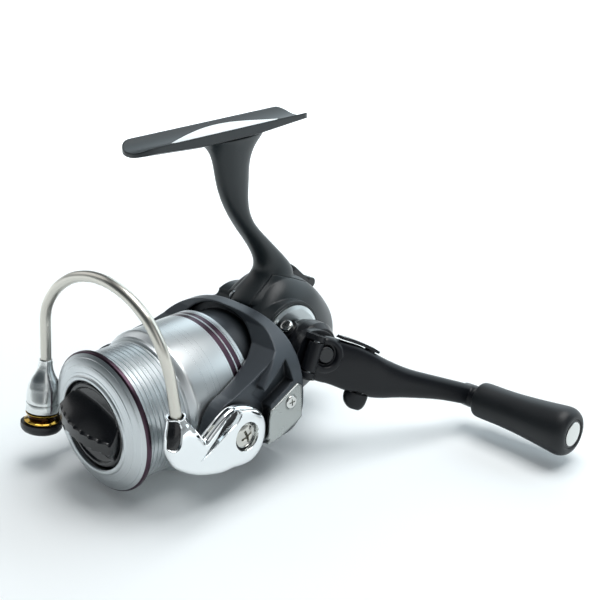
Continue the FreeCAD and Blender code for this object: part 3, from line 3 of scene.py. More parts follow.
import bmesh
import bpy
import numpy as np
from mathutils import Matrix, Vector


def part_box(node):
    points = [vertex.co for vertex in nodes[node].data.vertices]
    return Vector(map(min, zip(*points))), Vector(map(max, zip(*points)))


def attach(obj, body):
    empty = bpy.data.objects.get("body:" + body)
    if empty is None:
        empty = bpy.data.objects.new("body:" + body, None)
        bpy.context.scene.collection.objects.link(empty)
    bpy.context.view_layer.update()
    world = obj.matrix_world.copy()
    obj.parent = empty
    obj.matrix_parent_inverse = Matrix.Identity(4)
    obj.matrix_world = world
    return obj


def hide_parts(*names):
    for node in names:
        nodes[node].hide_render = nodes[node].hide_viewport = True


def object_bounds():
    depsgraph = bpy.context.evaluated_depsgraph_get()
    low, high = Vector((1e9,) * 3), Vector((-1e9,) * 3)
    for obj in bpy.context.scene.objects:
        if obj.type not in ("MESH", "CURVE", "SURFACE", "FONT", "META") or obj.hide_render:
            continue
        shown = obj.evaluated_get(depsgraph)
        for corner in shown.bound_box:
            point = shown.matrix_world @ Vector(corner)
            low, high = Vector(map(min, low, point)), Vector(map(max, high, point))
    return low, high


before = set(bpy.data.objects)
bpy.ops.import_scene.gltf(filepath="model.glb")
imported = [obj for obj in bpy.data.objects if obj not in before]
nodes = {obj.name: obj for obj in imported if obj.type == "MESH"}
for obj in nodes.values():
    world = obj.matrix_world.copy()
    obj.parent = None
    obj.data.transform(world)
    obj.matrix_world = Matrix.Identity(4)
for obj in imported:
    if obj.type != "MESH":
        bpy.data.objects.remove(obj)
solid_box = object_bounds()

# ---------------------------------------------------------------------------------------------
# Studio. A pale table top under a soft box, with a wide one behind and a weak one on each side.
# The table carries the reel's shadow, and the camera stands to the front right, above the reel.
# ---------------------------------------------------------------------------------------------


def linear(code):
    """An sRGB hex colour as linear red, green, blue and alpha."""
    parts = np.array([int(code[i:i + 2], 16) for i in (1, 3, 5)]) / 255
    return (*np.where(parts <= 0.04045, parts / 12.92, ((parts + 0.055) / 1.055) ** 2.4), 1.0)


def add(tree, kind, inputs=None, out=0, **settings):
    """Adds a node and returns one of its outputs: settings are the node's own, and inputs are
    values or the outputs that feed it."""
    made = tree.nodes.new(kind)
    for name, value in settings.items():
        setattr(made, name, value)
    for name, value in (inputs or {}).items():
        if isinstance(value, bpy.types.NodeSocket):
            tree.links.new(value, made.inputs[name])
        else:
            made.inputs[name].default_value = value
    return made.outputs[out] if made.outputs else made


def blank_tree(owner):
    """The node tree of a material or world, emptied."""
    owner.use_nodes = True
    owner.node_tree.nodes.clear()
    return owner.node_tree


# The camera's focal length in mm, its place in metres, and its own right and up directions.
LENS, FILM_WIDTH = 68.99, 36.0
STAND = np.array([0.246249, -0.222495, 0.079943])
RIGHT = np.array([0.7225, 0.6913, 0.0])
UP = np.array([-0.2575, 0.2691, 0.9280])
camera = bpy.data.objects.new("view_camera", bpy.data.cameras.new("view_camera"))
camera.data.lens, camera.data.sensor_width = LENS, FILM_WIDTH
camera.data.clip_start = 0.01
turn = np.eye(4)
turn[:3, 0], turn[:3, 1] = RIGHT, UP
turn[:3, 2], turn[:3, 3] = np.cross(RIGHT, UP), STAND
camera.matrix_world = Matrix(turn)
bpy.context.scene.collection.objects.link(camera)
bpy.context.scene.camera = camera
bpy.context.scene.view_settings.view_transform = "Standard"

TABLE_HALF = 4.0
floor_z = solid_box[0][2]
table_mesh = bpy.data.meshes.new("table_top")
corner = TABLE_HALF * np.array([(-1, -1), (1, -1), (1, 1), (-1, 1)])
table_mesh.from_pydata(np.column_stack([corner, np.full(4, floor_z)]).tolist(), [], [(0, 1, 2, 3)])
table_top = bpy.data.objects.new("table_top", table_mesh)
bpy.context.scene.collection.objects.link(table_top)

# Matt white laminate: it gives back nearly all the light, with no grain to be seen. What the eye
# and polished metal see of it is lifted, hardly near the reel and more with the distance from it,
# so that the reel's shadow stays and the table burns out to white round it.
NEAR, FAR = (0.09, 0.04), (0.5, 0.65)                   # distance in metres, lift
UNDER_REEL = (0.02, 0.0, floor_z)
white_laminate = bpy.data.materials.new("white_laminate")
tree = blank_tree(white_laminate)
board = add(tree, "ShaderNodeBsdfPrincipled", {"Base Color": linear("#f1f5f6"), "Roughness": 0.6})
seen = add(tree, "ShaderNodeMath", {0: add(tree, "ShaderNodeLightPath", out="Is Camera Ray"),
                                    1: add(tree, "ShaderNodeLightPath", out="Is Glossy Ray")},
           operation="ADD")
seen = add(tree, "ShaderNodeMath", {0: seen,
                                    1: add(tree, "ShaderNodeLightPath", out="Is Transmission Ray")},
           operation="ADD", use_clamp=True)
spread = add(tree, "ShaderNodeVectorMath", {0: add(tree, "ShaderNodeTexCoord", out="Object"),
                                            1: UNDER_REEL}, out="Value", operation="DISTANCE")
far = add(tree, "ShaderNodeMapRange", {"Value": spread, "From Min": NEAR[0], "To Min": NEAR[1],
                                       "From Max": FAR[0], "To Max": FAR[1]},
          interpolation_type="SMOOTHSTEP")
lift = add(tree, "ShaderNodeMath", {0: seen, 1: far}, operation="MULTIPLY")
glow = add(tree, "ShaderNodeEmission", {"Color": linear("#fbfeff"), "Strength": lift})
both = add(tree, "ShaderNodeAddShader", {0: board, 1: glow})
add(tree, "ShaderNodeOutputMaterial", {"Surface": both})
table_mesh.materials.append(white_laminate)

# The room: pale overhead and low down, and grey between, so that rounded metal shows a dark band.
# Each pair is the sine of the height above the horizon and the colour there.
room = bpy.data.worlds.new("studio_room")
bpy.context.scene.world = room
tree = blank_tree(room)
gaze = add(tree, "ShaderNodeTexCoord", out="Generated")
height = add(tree, "ShaderNodeSeparateXYZ", {0: gaze}, out="Z")
walls = tree.nodes.new("ShaderNodeValToRGB")
tree.links.new(height, walls.inputs[0])
for place, code in ((0.14, "#c9d0d3"), (0.34, "#596268"), (0.76, "#3b4247"), (0.9, "#e4eaed")):
    walls.color_ramp.elements.new(place).color = linear(code)
walls.color_ramp.elements[0].color = linear("#dfe5e7")
walls.color_ramp.elements[-1].color = linear("#f6fafc")
sky = add(tree, "ShaderNodeBackground", {"Color": walls.outputs[0], "Strength": 0.6})
add(tree, "ShaderNodeOutputWorld", {"Surface": sky})


def soft_box(name, place, target, wide, high, watts, code="#ffffff"):
    """A rectangular soft box at place, facing target."""
    lamp = bpy.data.lights.new(name, "AREA")
    lamp.shape, lamp.size, lamp.size_y = "RECTANGLE", wide, high
    lamp.energy, lamp.color = watts, linear(code)[:3]
    out = np.subtract(place, target) / np.linalg.norm(np.subtract(place, target))
    side = np.cross((0, 0, 1) if abs(out[2]) < 0.95 else (0, 1, 0), out)
    side /= np.linalg.norm(side)
    stand = np.eye(4)
    stand[:3, 0], stand[:3, 1], stand[:3, 2], stand[:3, 3] = side, np.cross(out, side), out, place
    box_lamp = bpy.data.objects.new(name, lamp)
    box_lamp.matrix_world = Matrix(stand)
    bpy.context.scene.collection.objects.link(box_lamp)


MIDDLE = (np.array(solid_box[0]) + np.array(solid_box[1])) / 2
soft_box("overhead_soft_box", MIDDLE + (0.10, 0.25, 1.15), MIDDLE, 1.0, 0.8, 12.0)
soft_box("back_soft_box", MIDDLE + (-0.05, 1.05, 0.56), MIDDLE, 2.3, 0.9, 12.0, "#e6f4fb")
soft_box("right_soft_box", MIDDLE + (0.95, -0.25, 0.42), MIDDLE, 0.7, 0.5, 0.9)
soft_box("left_soft_box", MIDDLE + (-0.95, -0.15, 0.50), MIDDLE, 0.6, 0.6, 1.2)


# ---------------------------------------------------------------------------------------------
# Housing. One half carries stem and foot, the other is its side cover. Both are moulded in
# glass-filled nylon with a fine spark-eroded texture, and screws draw them together.
# ---------------------------------------------------------------------------------------------
BLOTCH = 8.0            # mm between the broad, faint patches that handling and moulding leave


def finish(name, code, metallic=0.0, roughness=0.5, grain=0.35, bump=0.02, uneven=0.05, mottle=0.08,
           edge=0.0, hollow_shade=0.0, **sockets):
    """A material with two noises: one of that grain in mm sets its height, up to bump mm, and one of
    BLOTCH mm shifts its roughness by uneven and its shade by mottle. Its edges catch the light
    as if rounded by edge mm, and its colour is darkened with painted shade in hollows, up to as
    many mm wide as the last argument gives."""
    made = bpy.data.materials.new(name)
    tree = blank_tree(made)
    place = add(tree, "ShaderNodeTexCoord", out="Object")
    fine = add(tree, "ShaderNodeTexNoise", {"Vector": place, "Scale": 1000 / grain, "Detail": 2.0})
    broad = add(tree, "ShaderNodeTexNoise", {"Vector": place, "Scale": 1000 / BLOTCH, "Detail": 3.0})
    rough = add(tree, "ShaderNodeMapRange", {"Value": broad, "To Min": roughness - uneven,
                                             "To Max": roughness + uneven})
    relief = add(tree, "ShaderNodeBump", {"Height": fine, "Strength": 0.6, "Distance": bump / 1000})
    if edge:
        soft = add(tree, "ShaderNodeBevel", {"Radius": edge / 1000}, samples=6)
        tree.links.new(soft, relief.node.inputs["Normal"])
    shade = add(tree, "ShaderNodeMapRange", {"Value": broad, "To Min": 1 - mottle,
                                             "To Max": 1 + mottle})
    # Painted shade: ambient occlusion darkens the colour in hollows and windows.
    if hollow_shade:
        open_air = add(tree, "ShaderNodeAmbientOcclusion", {"Distance": hollow_shade / 1000}, out="AO",
                       samples=8)
        painted_shade = add(tree, "ShaderNodeMapRange", {"Value": open_air, "From Min": 0.25, "From Max": 0.75,
                                                 "To Min": 0.12})
        shade = add(tree, "ShaderNodeMath", {0: shade, 1: painted_shade}, operation="MULTIPLY")
    tone = add(tree, "ShaderNodeVectorMath", {0: linear(code)[:3], 1: shade}, operation="MULTIPLY")
    shader = add(tree, "ShaderNodeBsdfPrincipled", {"Base Color": tone, "Metallic": metallic,
                                                    "Roughness": rough, "Normal": relief, **sockets})
    add(tree, "ShaderNodeOutputMaterial", {"Surface": shader})
    return made


def dress(material, *names):
    """Gives CAD nodes that stay in view their material."""
    for name in names:
        nodes[name].data.materials.clear()
        nodes[name].data.materials.append(material)


# Glass-filled nylon, moulded in a spark-eroded tool: dark slate, with a grain of about 0.3 mm that
# breaks the light into a soft sheen, and rounded parting edges.
glass_filled_nylon = finish("glass_filled_nylon", "#1c2326", roughness=0.38, grain=0.28, bump=0.012,
                            edge=0.7, **{"Specular IOR Level": 0.42})
dress(glass_filled_nylon, "body_frame", "side_cover")

# The rod seat's bare inlay: a thin pointed oval of silvered foil, glued into the saddle. It is paler
# and flatter in its gloss than bare metal.
silvered_foil = finish("silvered_foil", "#eef2f3", metallic=0.35, roughness=0.42, grain=0.2, bump=0.004,
                       mottle=0.02)
dress(silvered_foil, "foot_plate")

# The anti-reverse lever: black acetal, moulded smooth, so it shines more than the housing.
black_acetal = finish("black_acetal", "#15171a", roughness=0.3, bump=0.005)
dress(black_acetal, "stopper_lever")

# Cover screws: zinc-plated steel pan heads, sunk into the far flank, a little dull.
zinc_plated_steel = finish("zinc_plated_steel", "#a9aeb0", metallic=1.0, roughness=0.28)
dress(zinc_plated_steel, "cover_screws")

# ---------------------------------------------------------------------------------------------
# Bearing cap and port cap. A turned aluminium disc is pressed into the flank round the drive shaft
# on the handle side, and a moulded one closes the spare handle port on the other.
# ---------------------------------------------------------------------------------------------
# Satin aluminium, turned and then blasted: soft, slightly cool highlights.
satin_aluminium = finish("satin_aluminium", "#c4cacb", metallic=1.0, roughness=0.3, grain=0.25,
                         bump=0.006)
dress(satin_aluminium, "bearing_cap")
dress(glass_filled_nylon, "left_port_cap")

# ---------------------------------------------------------------------------------------------
# Works inside the housing: ball races, roller clutch, brass pinion, zinc drive gear and the
# crank gear that sends the spool forwards and back. They are hidden when the reel is whole.
# ---------------------------------------------------------------------------------------------
# Steel ground to size, of shafts and races: a cold, nearly clear reflection.
ground_steel = finish("ground_steel", "#c9cdd0", metallic=1.0, roughness=0.16, grain=0.5, bump=0.002)
dress(ground_steel, "drive_bearings", "pinion_bearing", "clutch_rollers", "clutch_sleeve", "guide_rod",
      "drive_shaft", "main_shaft", "arm_pivot_pin", "knob_spindle", "bail_spring")
# Blackened steel, of stampings and screws: dark with a dull metal sheen.
blackened_steel = finish("blackened_steel", "#3a3d40", metallic=1.0, roughness=0.34)
dress(blackened_steel, "clutch_housing", "clutch_plate", "clutch_screws", "slider_screw",
      "nut_lock_plate", "nut_lock_screw", "washer_retainer", "spool_clicker")
# Machined brass, of pinion and nuts: warm yellow and fairly bright.
machined_brass = finish("machined_brass", "#c69a4c", metallic=1.0, roughness=0.24, bump=0.004)
dress(machined_brass, "pinion", "pinion_bush", "rotor_nut", "drag_nut")
# Cast zinc, of the gears: grey, with the dull grain of a casting.
cast_zinc = finish("cast_zinc", "#8f9496", metallic=1.0, roughness=0.4, grain=0.6, bump=0.02)
dress(cast_zinc, "drive_gear", "oscillation_pinion", "oscillation_slider")
# Acetal, of light gears and bushes: milky white with a soft shine.
acetal = finish("acetal", "#e4e3dc", roughness=0.4, bump=0.006)
dress(acetal, "clutch_cage", "oscillation_gear", "knob_bushes", "spool_seat", "roller_bush")
# Oiled wool felt, of the drag's washers: grey-brown, fibrous and quite matt.
wool_felt = finish("wool_felt", "#a39b8c", roughness=0.9, grain=0.25, bump=0.15, mottle=0.2)
dress(wool_felt, "drag_washers")

# ---------------------------------------------------------------------------------------------
# Collar and fittings of the handle. A collar screwed on the drive shaft carries the folding arm,
# with a moulded push button in its eye and a sprung plunger across it. Collar and plunger are zinc
# castings, painted satin black.
# ---------------------------------------------------------------------------------------------
# Satin black paint: near black with a tight soft highlight along its edges.
satin_black_paint = finish("satin_black_paint", "#131519", roughness=0.3, grain=0.4, bump=0.006,
                           uneven=0.04, edge=0.5, **{"Specular IOR Level": 0.28})
dress(satin_black_paint, "handle_hub", "fold_latch")
dress(black_acetal, "fold_button")
# Polished stainless steel of the lug screw and the knob's cap: almost a mirror.
polished_steel = finish("polished_steel", "#d2d3d0", metallic=1.0, roughness=0.14, grain=0.5,
                        bump=0.002)
dress(polished_steel, "hub_screw")

# ---------------------------------------------------------------------------------------------
# Folding arm. A leaning die-cast bar with a round eye and a hinge barrel at one end, and the knob's
# boss at the other. A pin through the barrel holds it between the collar's ears.
# ---------------------------------------------------------------------------------------------
# The datum of every size below, in mm: the spool's axis, 68 mm behind the front of its lip.
LIP_TO_DATUM = 68.0
low, high = np.array(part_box("spool")) * 1000
REEL_MM = np.array([(low[0] + high[0]) / 2, low[1] + LIP_TO_DATUM, (low[2] + high[2]) / 2])


def grid_piece(name, grids, body, materials, kinds=None, crease=35):
    """A piece of one or more closed skins, from grids of points in mm about the datum. Each row of a
    grid is a ring that closes on itself. The first and last rings close on their middle points, or
    on each other where the grid comes as (grid, True). kinds gives the material of each band of
    faces, and edges sharper than crease degrees stay sharp."""
    points, faces, picked, start = [], [], [], 0
    for number, grid in enumerate(grids):
        grid, loop = grid if isinstance(grid, tuple) else (grid, False)
        rows, cols = grid.shape[:2]
        index = np.arange(rows * cols).reshape(rows, cols) + start
        here = index if loop else index[:-1]
        ahead = np.roll(index, -1, axis=0) if loop else index[1:]
        quads = np.stack([here, np.roll(here, -1, 1), np.roll(ahead, -1, 1), ahead], -1)
        bands = np.zeros(here.shape, int)
        if kinds is not None and kinds[number] is not None:
            bands[:] = np.asarray(kinds[number]).reshape(len(kinds[number]), -1)[:len(here)]
        points.append(grid.reshape(-1, 3))
        faces += quads.reshape(-1, 4).tolist()
        picked += bands.ravel().tolist()
        if not loop:
            points.append(np.stack([grid[0].mean(0), grid[-1].mean(0)]))
            hub = np.full((cols, 1), start + rows * cols)
            first = np.stack([np.roll(index[0], -1), index[0]], -1)
            last = np.stack([index[-1], np.roll(index[-1], -1)], -1)
            faces += np.hstack([first, hub]).tolist() + np.hstack([last, hub + 1]).tolist()
            picked += bands[0].tolist() + bands[-1].tolist()
        start += rows * cols + (0 if loop else 2)
    mesh = bpy.data.meshes.new(name)
    mesh.from_pydata(((np.vstack(points) + REEL_MM) / 1000).tolist(), [], faces)
    mesh.polygons.foreach_set("material_index", np.array(picked, np.int32))
    shape = bmesh.new()
    shape.from_mesh(mesh)
    bmesh.ops.remove_doubles(shape, verts=shape.verts, dist=2e-6)
    bmesh.ops.recalc_face_normals(shape, faces=shape.faces)
    shape.to_mesh(mesh)
    shape.free()
    mesh.shade_smooth()
    mesh.set_sharp_from_angle(angle=math.radians(crease))
    for material in materials:
        mesh.materials.append(material)
    piece = bpy.data.objects.new(name, mesh)
    bpy.context.scene.collection.objects.link(piece)
    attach(piece, body)
    return piece


def turned_grid(profile, axis=1, centre=(0, 0, 0), steps=192):
    """A turned shape about the X axis (0) or Y axis (1) through centre: each pair of the profile
    gives a ring's place along that axis and its radius."""
    along, r = np.asarray(profile, float).T
    angle = np.linspace(0, 2 * np.pi, steps, endpoint=False)
    rings = np.zeros((len(r), steps, 3)) + centre
    rings[..., axis] += along[:, None]
    rings[..., 1 - axis] += np.outer(r, np.cos(angle))
    rings[..., 2] += np.outer(r, np.sin(angle))
    return rings


def through(points, count):
    """A smooth run of count rows through the given rows: a cubic between each two, whose slope at
    each row is half the step from the row before it to the row after it."""
    rows = np.asarray(points, float)
    rows = np.vstack([2 * rows[0] - rows[1], rows, 2 * rows[-1] - rows[-2]])
    way = np.linspace(0, len(rows) - 3 - 1e-9, count)
    at = way.astype(int)
    t = (way - at)[:, None]
    a, b, c, d = rows[at], rows[at + 1], rows[at + 2], rows[at + 3]
    return 0.5 * (2 * b + (c - a) * t + (2 * a - 5 * b + 4 * c - d) * t ** 2
                  + (3 * b - a - 3 * c + d) * t ** 3)


HANDLE_AXIS = np.array([0, 0, 9.0])
ARM_DROP, ARM_LEAN = np.radians(25.8), np.radians(24.6)  # below level, and away from the housing
ARM_X, CRANK = 31.0, 48.9                                # middle of the arm's root; throw of the knob
ACROSS = np.array([0, np.sin(ARM_DROP), np.cos(ARM_DROP)])
WAY = np.array([0, np.cos(ARM_DROP), -np.sin(ARM_DROP)])
OUTWARD = np.array([1, 0, 0]) * np.cos(ARM_LEAN) - WAY * np.sin(ARM_LEAN)
# Stations: place along and across, half height, half thickness, and power of the superellipse.
ARM_STATIONS = [(-6.9, -1.0, 3.9, 1.6, 2.3), (-6.6, -1.0, 4.4, 2.3, 2.3), (-6.0, -1.0, 4.5, 2.7, 2.3),
                (-4.8, -1.0, 4.5, 2.95, 2.3), (-4.45, -1.0, 5.9, 3.0, 2.3), (-3.6, -1.0, 6.9, 3.0, 2.3),
                (-2.2, -1.0, 7.15, 3.0, 2.3), (-0.6, -1.0, 7.15, 3.0, 2.4), (1.0, -1.0, 7.1, 3.05, 2.5),
                (3.5, -1.15, 7.15, 3.2, 2.7), (7.0, -1.4, 7.3, 3.3, 3.1), (10.0, -1.75, 7.2, 3.3, 3.4),
                (13.0, -2.1, 7.0, 3.3, 3.3), (18.5, -2.3, 6.1, 3.1, 2.5), (26.0, -1.7, 4.7, 2.9, 2.2),
                (37.0, -0.5, 3.7, 2.7, 2.1), (45.0, 0.0, 3.4, 2.6, 2.1), (48.0, 0.0, 3.3, 2.5, 2.1),
                (49.8, 0.0, 2.9, 2.2, 2.1), (50.7, 0.0, 1.9, 1.5, 2.1)]


def arm_place(place, aside):
    """The middle of the arm's thickness, a distance along it and across it from the handle axis:
    the arm leans outwards by the tangent of its lean for each mm along."""
    place, aside = np.asarray(place)[..., None], np.asarray(aside)[..., None]
    return HANDLE_AXIS + np.array([ARM_X, 0, 0]) + place * (WAY + np.array([np.tan(ARM_LEAN), 0, 0])) \
        + aside * ACROSS


BUTTON_ALONG, BUTTON_ASIDE = -3.0, 0.6
RING_RADIUS, RING_HALF_WIDTH, RING_HEIGHT = 4.75, 1.05, 0.55
DISH_RADIUS, DISH_LEVEL, WELL_RADIUS = 3.8, 2.25, 2.98   # levels are above the arm's middle plane
PLUNGER_ALONG, POCKET_HALF_LENGTH, POCKET_HALF_THICK, POCKET_TOP = 11.3, 4.25, 2.5, -6.95


def arm_skin(rows=350, cols=256):
    """The arm's skin: each station is a superellipse of its own power. On the outer face a ring with
    the profile of one minus a cube stands round the button, with a dish and a well inside it. On the
    underside a superellipse of power 2.3 is pushed up as a pocket for the plunger's boss."""
    row = through(ARM_STATIONS, rows)[:, :, None]
    angle = np.interp(np.arange(cols) / cols, (0, 0.14, 0.36, 0.64, 0.86, 1),
                      (0, 38, 142, 218, 322, 360))      # closer columns on the two flat faces
    sine, cosine = np.sin(np.radians(angle))[None, :], np.cos(np.radians(angle))[None, :]
    reach = (np.abs(sine) ** row[:, 4] + np.abs(cosine) ** row[:, 4]) ** (-1 / row[:, 4])
    high, thick = cosine * reach * row[:, 2], sine * reach * row[:, 3]
    along = np.broadcast_to(row[:, 0], high.shape) / np.cos(ARM_LEAN)
    outside = sine > 0.2
    away = np.hypot(along - BUTTON_ALONG / np.cos(ARM_LEAN), high + row[:, 1] - BUTTON_ASIDE)
    ring = RING_HEIGHT * np.clip(1 - np.abs((away - RING_RADIUS) / RING_HALF_WIDTH) ** 3, 0, 1)
    level = thick + outside * ring
    dish = outside * np.clip((DISH_RADIUS - away) / 0.25, 0, 1)
    level = level + (DISH_LEVEL - level) * dish
    level = level * (1 - outside * np.clip((WELL_RADIUS - away) / 0.14, 0, 1))
    boss = (np.abs(along - PLUNGER_ALONG / np.cos(ARM_LEAN)) / POCKET_HALF_LENGTH) ** 2.3 \
        + (np.abs(thick) / POCKET_HALF_THICK) ** 2.3
    aside = row[:, 1] + high
    sunk = np.clip((1.05 - boss) / 0.1, 0, 1) * (cosine < -0.2)
    aside = aside + sunk * np.clip(POCKET_TOP - aside, 0, None)
    return arm_place(row[:, 0], aside) + level[..., None] * OUTWARD


# Pairs of place and radius: the barrel along the hinge pin, then the boss along the knob's axis.
HINGE = [(-4.6, 1.15), (-4.6, 2.2), (-4.4, 2.4), (4.4, 2.4), (4.6, 2.2), (4.6, 1.15)]
HINGE_X, HINGE_ALONG, HINGE_ASIDE = 29.7, -7.2, -1.0
hinge = turned_grid(HINGE, 1, steps=64) @ np.array([[1, 0, 0], ACROSS, WAY]) \
    + HANDLE_AXIS + np.array([HINGE_X, 0, 0]) + HINGE_ALONG * WAY + HINGE_ASIDE * ACROSS
BOSS = [(49.8, 1.8), (49.7, 2.6), (50.1, 3.3), (51.2, 3.65), (55.2, 3.7), (55.9, 3.5), (56.2, 3.1),
        (56.2, 1.8)]
boss = turned_grid(through(BOSS, 40), 0, HANDLE_AXIS + CRANK * WAY, 96)
arm = grid_piece("folding_arm_casting", [arm_skin(), (hinge, True), (boss, True)],
                 "arm", [satin_black_paint], crease=38)
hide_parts("handle_arm")

# ---------------------------------------------------------------------------------------------
# Knob. Soft-touch rubber moulded over a core that turns on a spindle. It is slimmer where the
# fingers close round it, and a bright pressed cap is set in a dark ring at its end.
# ---------------------------------------------------------------------------------------------
# Soft-touch rubber: charcoal, with hardly any highlight and a very fine grain.
soft_touch_rubber = finish("soft_touch_rubber", "#191c1f", roughness=0.42, grain=0.3, bump=0.008,
                           **{"Specular IOR Level": 0.35})
low, high = np.array(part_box("handle_knob")) * 1000 - REEL_MM
KNOB_FOOT, KNOB_END, KNOB_RADIUS = low[0], high[0], (high[2] - low[2]) / 2
KNOB_MIDDLE = (0, (low[1] + high[1]) / 2, (low[2] + high[2]) / 2)
KNOB_BORE, CAP_SEAT_DEPTH, CAP_SEAT_RADIUS = 3.45, 0.9, 4.6
# Pairs of place from the knob's inner end and radius short of its widest.
KNOB_OUTSIDE = [(0.05, -3.6), (0.0, -2.6), (0.3, -2.2), (1.3, -1.97), (4.0, -1.9), (8.0, -1.88),
                (13.0, -1.7), (18.5, -1.3), (24.0, -0.75), (28.0, -0.3), (30.6, -0.04),
                (32.2, -0.15), (33.5, -0.7), (34.3, -1.5), (34.6, -2.4), (34.55, -2.9)]
knob_line = through([(KNOB_FOOT + place, KNOB_RADIUS + short) for place, short in KNOB_OUTSIDE], 90)
knob_line = np.vstack([(KNOB_FOOT + 0.4, KNOB_BORE), knob_line, (KNOB_END - 0.3, 4.62),
                       (KNOB_END - CAP_SEAT_DEPTH, CAP_SEAT_RADIUS),
                       (KNOB_END - CAP_SEAT_DEPTH, KNOB_BORE)])
grip = grid_piece("knob_grip", [(turned_grid(knob_line, 0, KNOB_MIDDLE, 128), True)],
                  "knob", [soft_touch_rubber], crease=50)
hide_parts("handle_knob")

# Place from the knob's outer end, radius, and finish of the band that follows: 1 is the dark ring
# and its back, 0 the crowned bright face.
CAP_LINE = [(-1.0, 0.05, 1), (-1.0, 4.5, 1), (-0.35, 4.5, 1), (-0.28, 4.4, 1), (-0.28, 3.95, 1),
            (-0.1, 3.88, 0), (0.0, 3.75, 0), (0.06, 3.3, 0), (0.09, 2.0, 0), (0.1, 0.05, 0)]
cap = grid_piece("knob_end_cap",
                 [turned_grid([(KNOB_END + place, r) for place, r, _ in CAP_LINE], 0, KNOB_MIDDLE, 96)],
                 "knob", [polished_steel, black_acetal],
                 [[band for _, _, band in CAP_LINE]])
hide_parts("knob_cap")

# ---------------------------------------------------------------------------------------------
# Rotor. A die casting painted satin graphite, with a deep drum behind the spool's skirt and an
# arm on each side. A thin metal cover is screwed on each arm.
# ---------------------------------------------------------------------------------------------
# Graphite paint with a little metal flake: paler than the housing where it faces the light.
# Its windows and other hollows are turned black with painted shade.
graphite_paint = finish("graphite_paint", "#40464c", metallic=0.35, roughness=0.38, grain=0.35,
                        bump=0.008, edge=0.9, hollow_shade=9.0)
dress(graphite_paint, "rotor")
# Blasted and clear-coated aluminium of the arm covers: a silver with a wide soft highlight.
warm_satin_silver = finish("warm_satin_silver", "#a9adab", metallic=1.0, roughness=0.28, bump=0.006,
                           edge=1.0)
dress(warm_satin_silver, "arm_cover_right", "arm_cover_left")
dress(polished_steel, "arm_cover_screws")

# ---------------------------------------------------------------------------------------------
# Spool. Turned from aluminium: a coned front lip, a grooved drum for the line and a long thin
# skirt with two anodised bands near its rear edge. It is empty, and its face shows tool rings.
# ---------------------------------------------------------------------------------------------
def turned_metal(name, code, roughness, ring_mm, depth, shade=0.05):
    """Metal with the fine rings that a lathe tool leaves. A noise of one number, the radius plus half
    the place along the axis, gives rings ring_mm apart, up to depth mm high, of slightly different
    gloss and shade. The marks run round the axis, so a reflection is drawn out across them."""
    made = bpy.data.materials.new(name)
    tree = blank_tree(made)
    place = add(tree, "ShaderNodeMapping", {0: add(tree, "ShaderNodeTexCoord", out="Object"),
                                            "Location": -REEL_MM / 1000}, vector_type="POINT")
    flat = add(tree, "ShaderNodeVectorMath", {0: place, 1: (1, 0, 1)}, operation="MULTIPLY")
    radius = add(tree, "ShaderNodeVectorMath", {0: flat}, out="Value", operation="LENGTH")
    lengthwise = add(tree, "ShaderNodeSeparateXYZ", {0: place}, out="Y")
    number = add(tree, "ShaderNodeMath", {0: lengthwise, 1: 0.5, 2: radius}, operation="MULTIPLY_ADD")
    rings = add(tree, "ShaderNodeTexNoise", {"W": number, "Scale": 1000 / ring_mm, "Detail": 3.0},
                noise_dimensions="1D")
    rough = add(tree, "ShaderNodeMapRange", {"Value": rings, "To Min": roughness - 0.06,
                                             "To Max": roughness + 0.06})
    relief = add(tree, "ShaderNodeBump", {"Height": rings, "Strength": 0.7, "Distance": depth / 1000})
    tint = add(tree, "ShaderNodeMapRange", {"Value": rings, "To Min": 1 - 2 * shade,
                                            "To Max": 1 + shade})
    tone = add(tree, "ShaderNodeVectorMath", {0: linear(code)[:3], 1: tint}, operation="MULTIPLY")
    round_axis = add(tree, "ShaderNodeVectorMath", {0: flat, 1: (0, 1, 0)}, operation="CROSS_PRODUCT")
    shader = add(tree, "ShaderNodeBsdfPrincipled", {"Base Color": tone, "Metallic": 1.0,
                                                    "Anisotropic": 0.7, "Tangent": round_axis,
                                                    "Roughness": rough, "Normal": relief})
    add(tree, "ShaderNodeOutputMaterial", {"Surface": shader})
    return made


# Turned aluminium: bright, with tool rings coarse enough to be seen.
turned_aluminium = turned_metal("turned_aluminium", "#cfd4d6", 0.3, 0.35, 0.006, shade=0.07)
# The skirt's aluminium, cut finer: it looks smooth, and its highlight is drawn out across the rings.
satin_turned_skirt = turned_metal("satin_turned_skirt", "#d8dcdd", 0.3, 0.12, 0.001, shade=0.01)
# Dark plum anodising of two bands: nearly black, with a red-violet sheen.
plum_anodising = finish("plum_anodising", "#4c3b46", metallic=1.0, roughness=0.3, bump=0.003)
# Pairs of place along the axis and radius, from the drag pocket over the lip, drum and skirt and
# back inside. The third number picks the finish of the band that follows: 0 is turned, 1 is
# anodised and 2 is cut finer.
LIP = [(-67.2, 13.6, 0), (-67.75, 13.7, 0), (-67.97, 14.0, 0), (-67.97, 14.7, 0), (-67.8, 15.0, 0),
       (-67.45, 15.25, 0), (-67.3, 15.9, 0), (-67.22, 16.0, 0), (-67.0, 17.0, 0), (-66.6, 18.0, 0),
       (-66.45, 18.15, 0), (-66.1, 19.0, 0), (-65.6, 19.8, 0), (-65.45, 19.9, 0), (-65.0, 20.6, 0),
       (-64.75, 20.95, 1), (-64.6, 21.2, 1), (-64.35, 21.42, 1), (-64.1, 21.5, 1), (-63.4, 21.5, 1),
       (-63.3, 21.42, 0), (-63.25, 21.2, 0), (-62.7, 20.3, 0), (-62.3, 20.0, 0)]
GROOVE_PITCH, GROOVE_DEPTH = 1.52, 0.3
DRUM = [(y + off, 20.0 - deep, 0) for y in -61.6 + GROOVE_PITCH * np.arange(8)
        for off, deep in ((0.0, 0.0), (0.12, GROOVE_DEPTH), (0.34, GROOVE_DEPTH), (0.46, 0.0))]
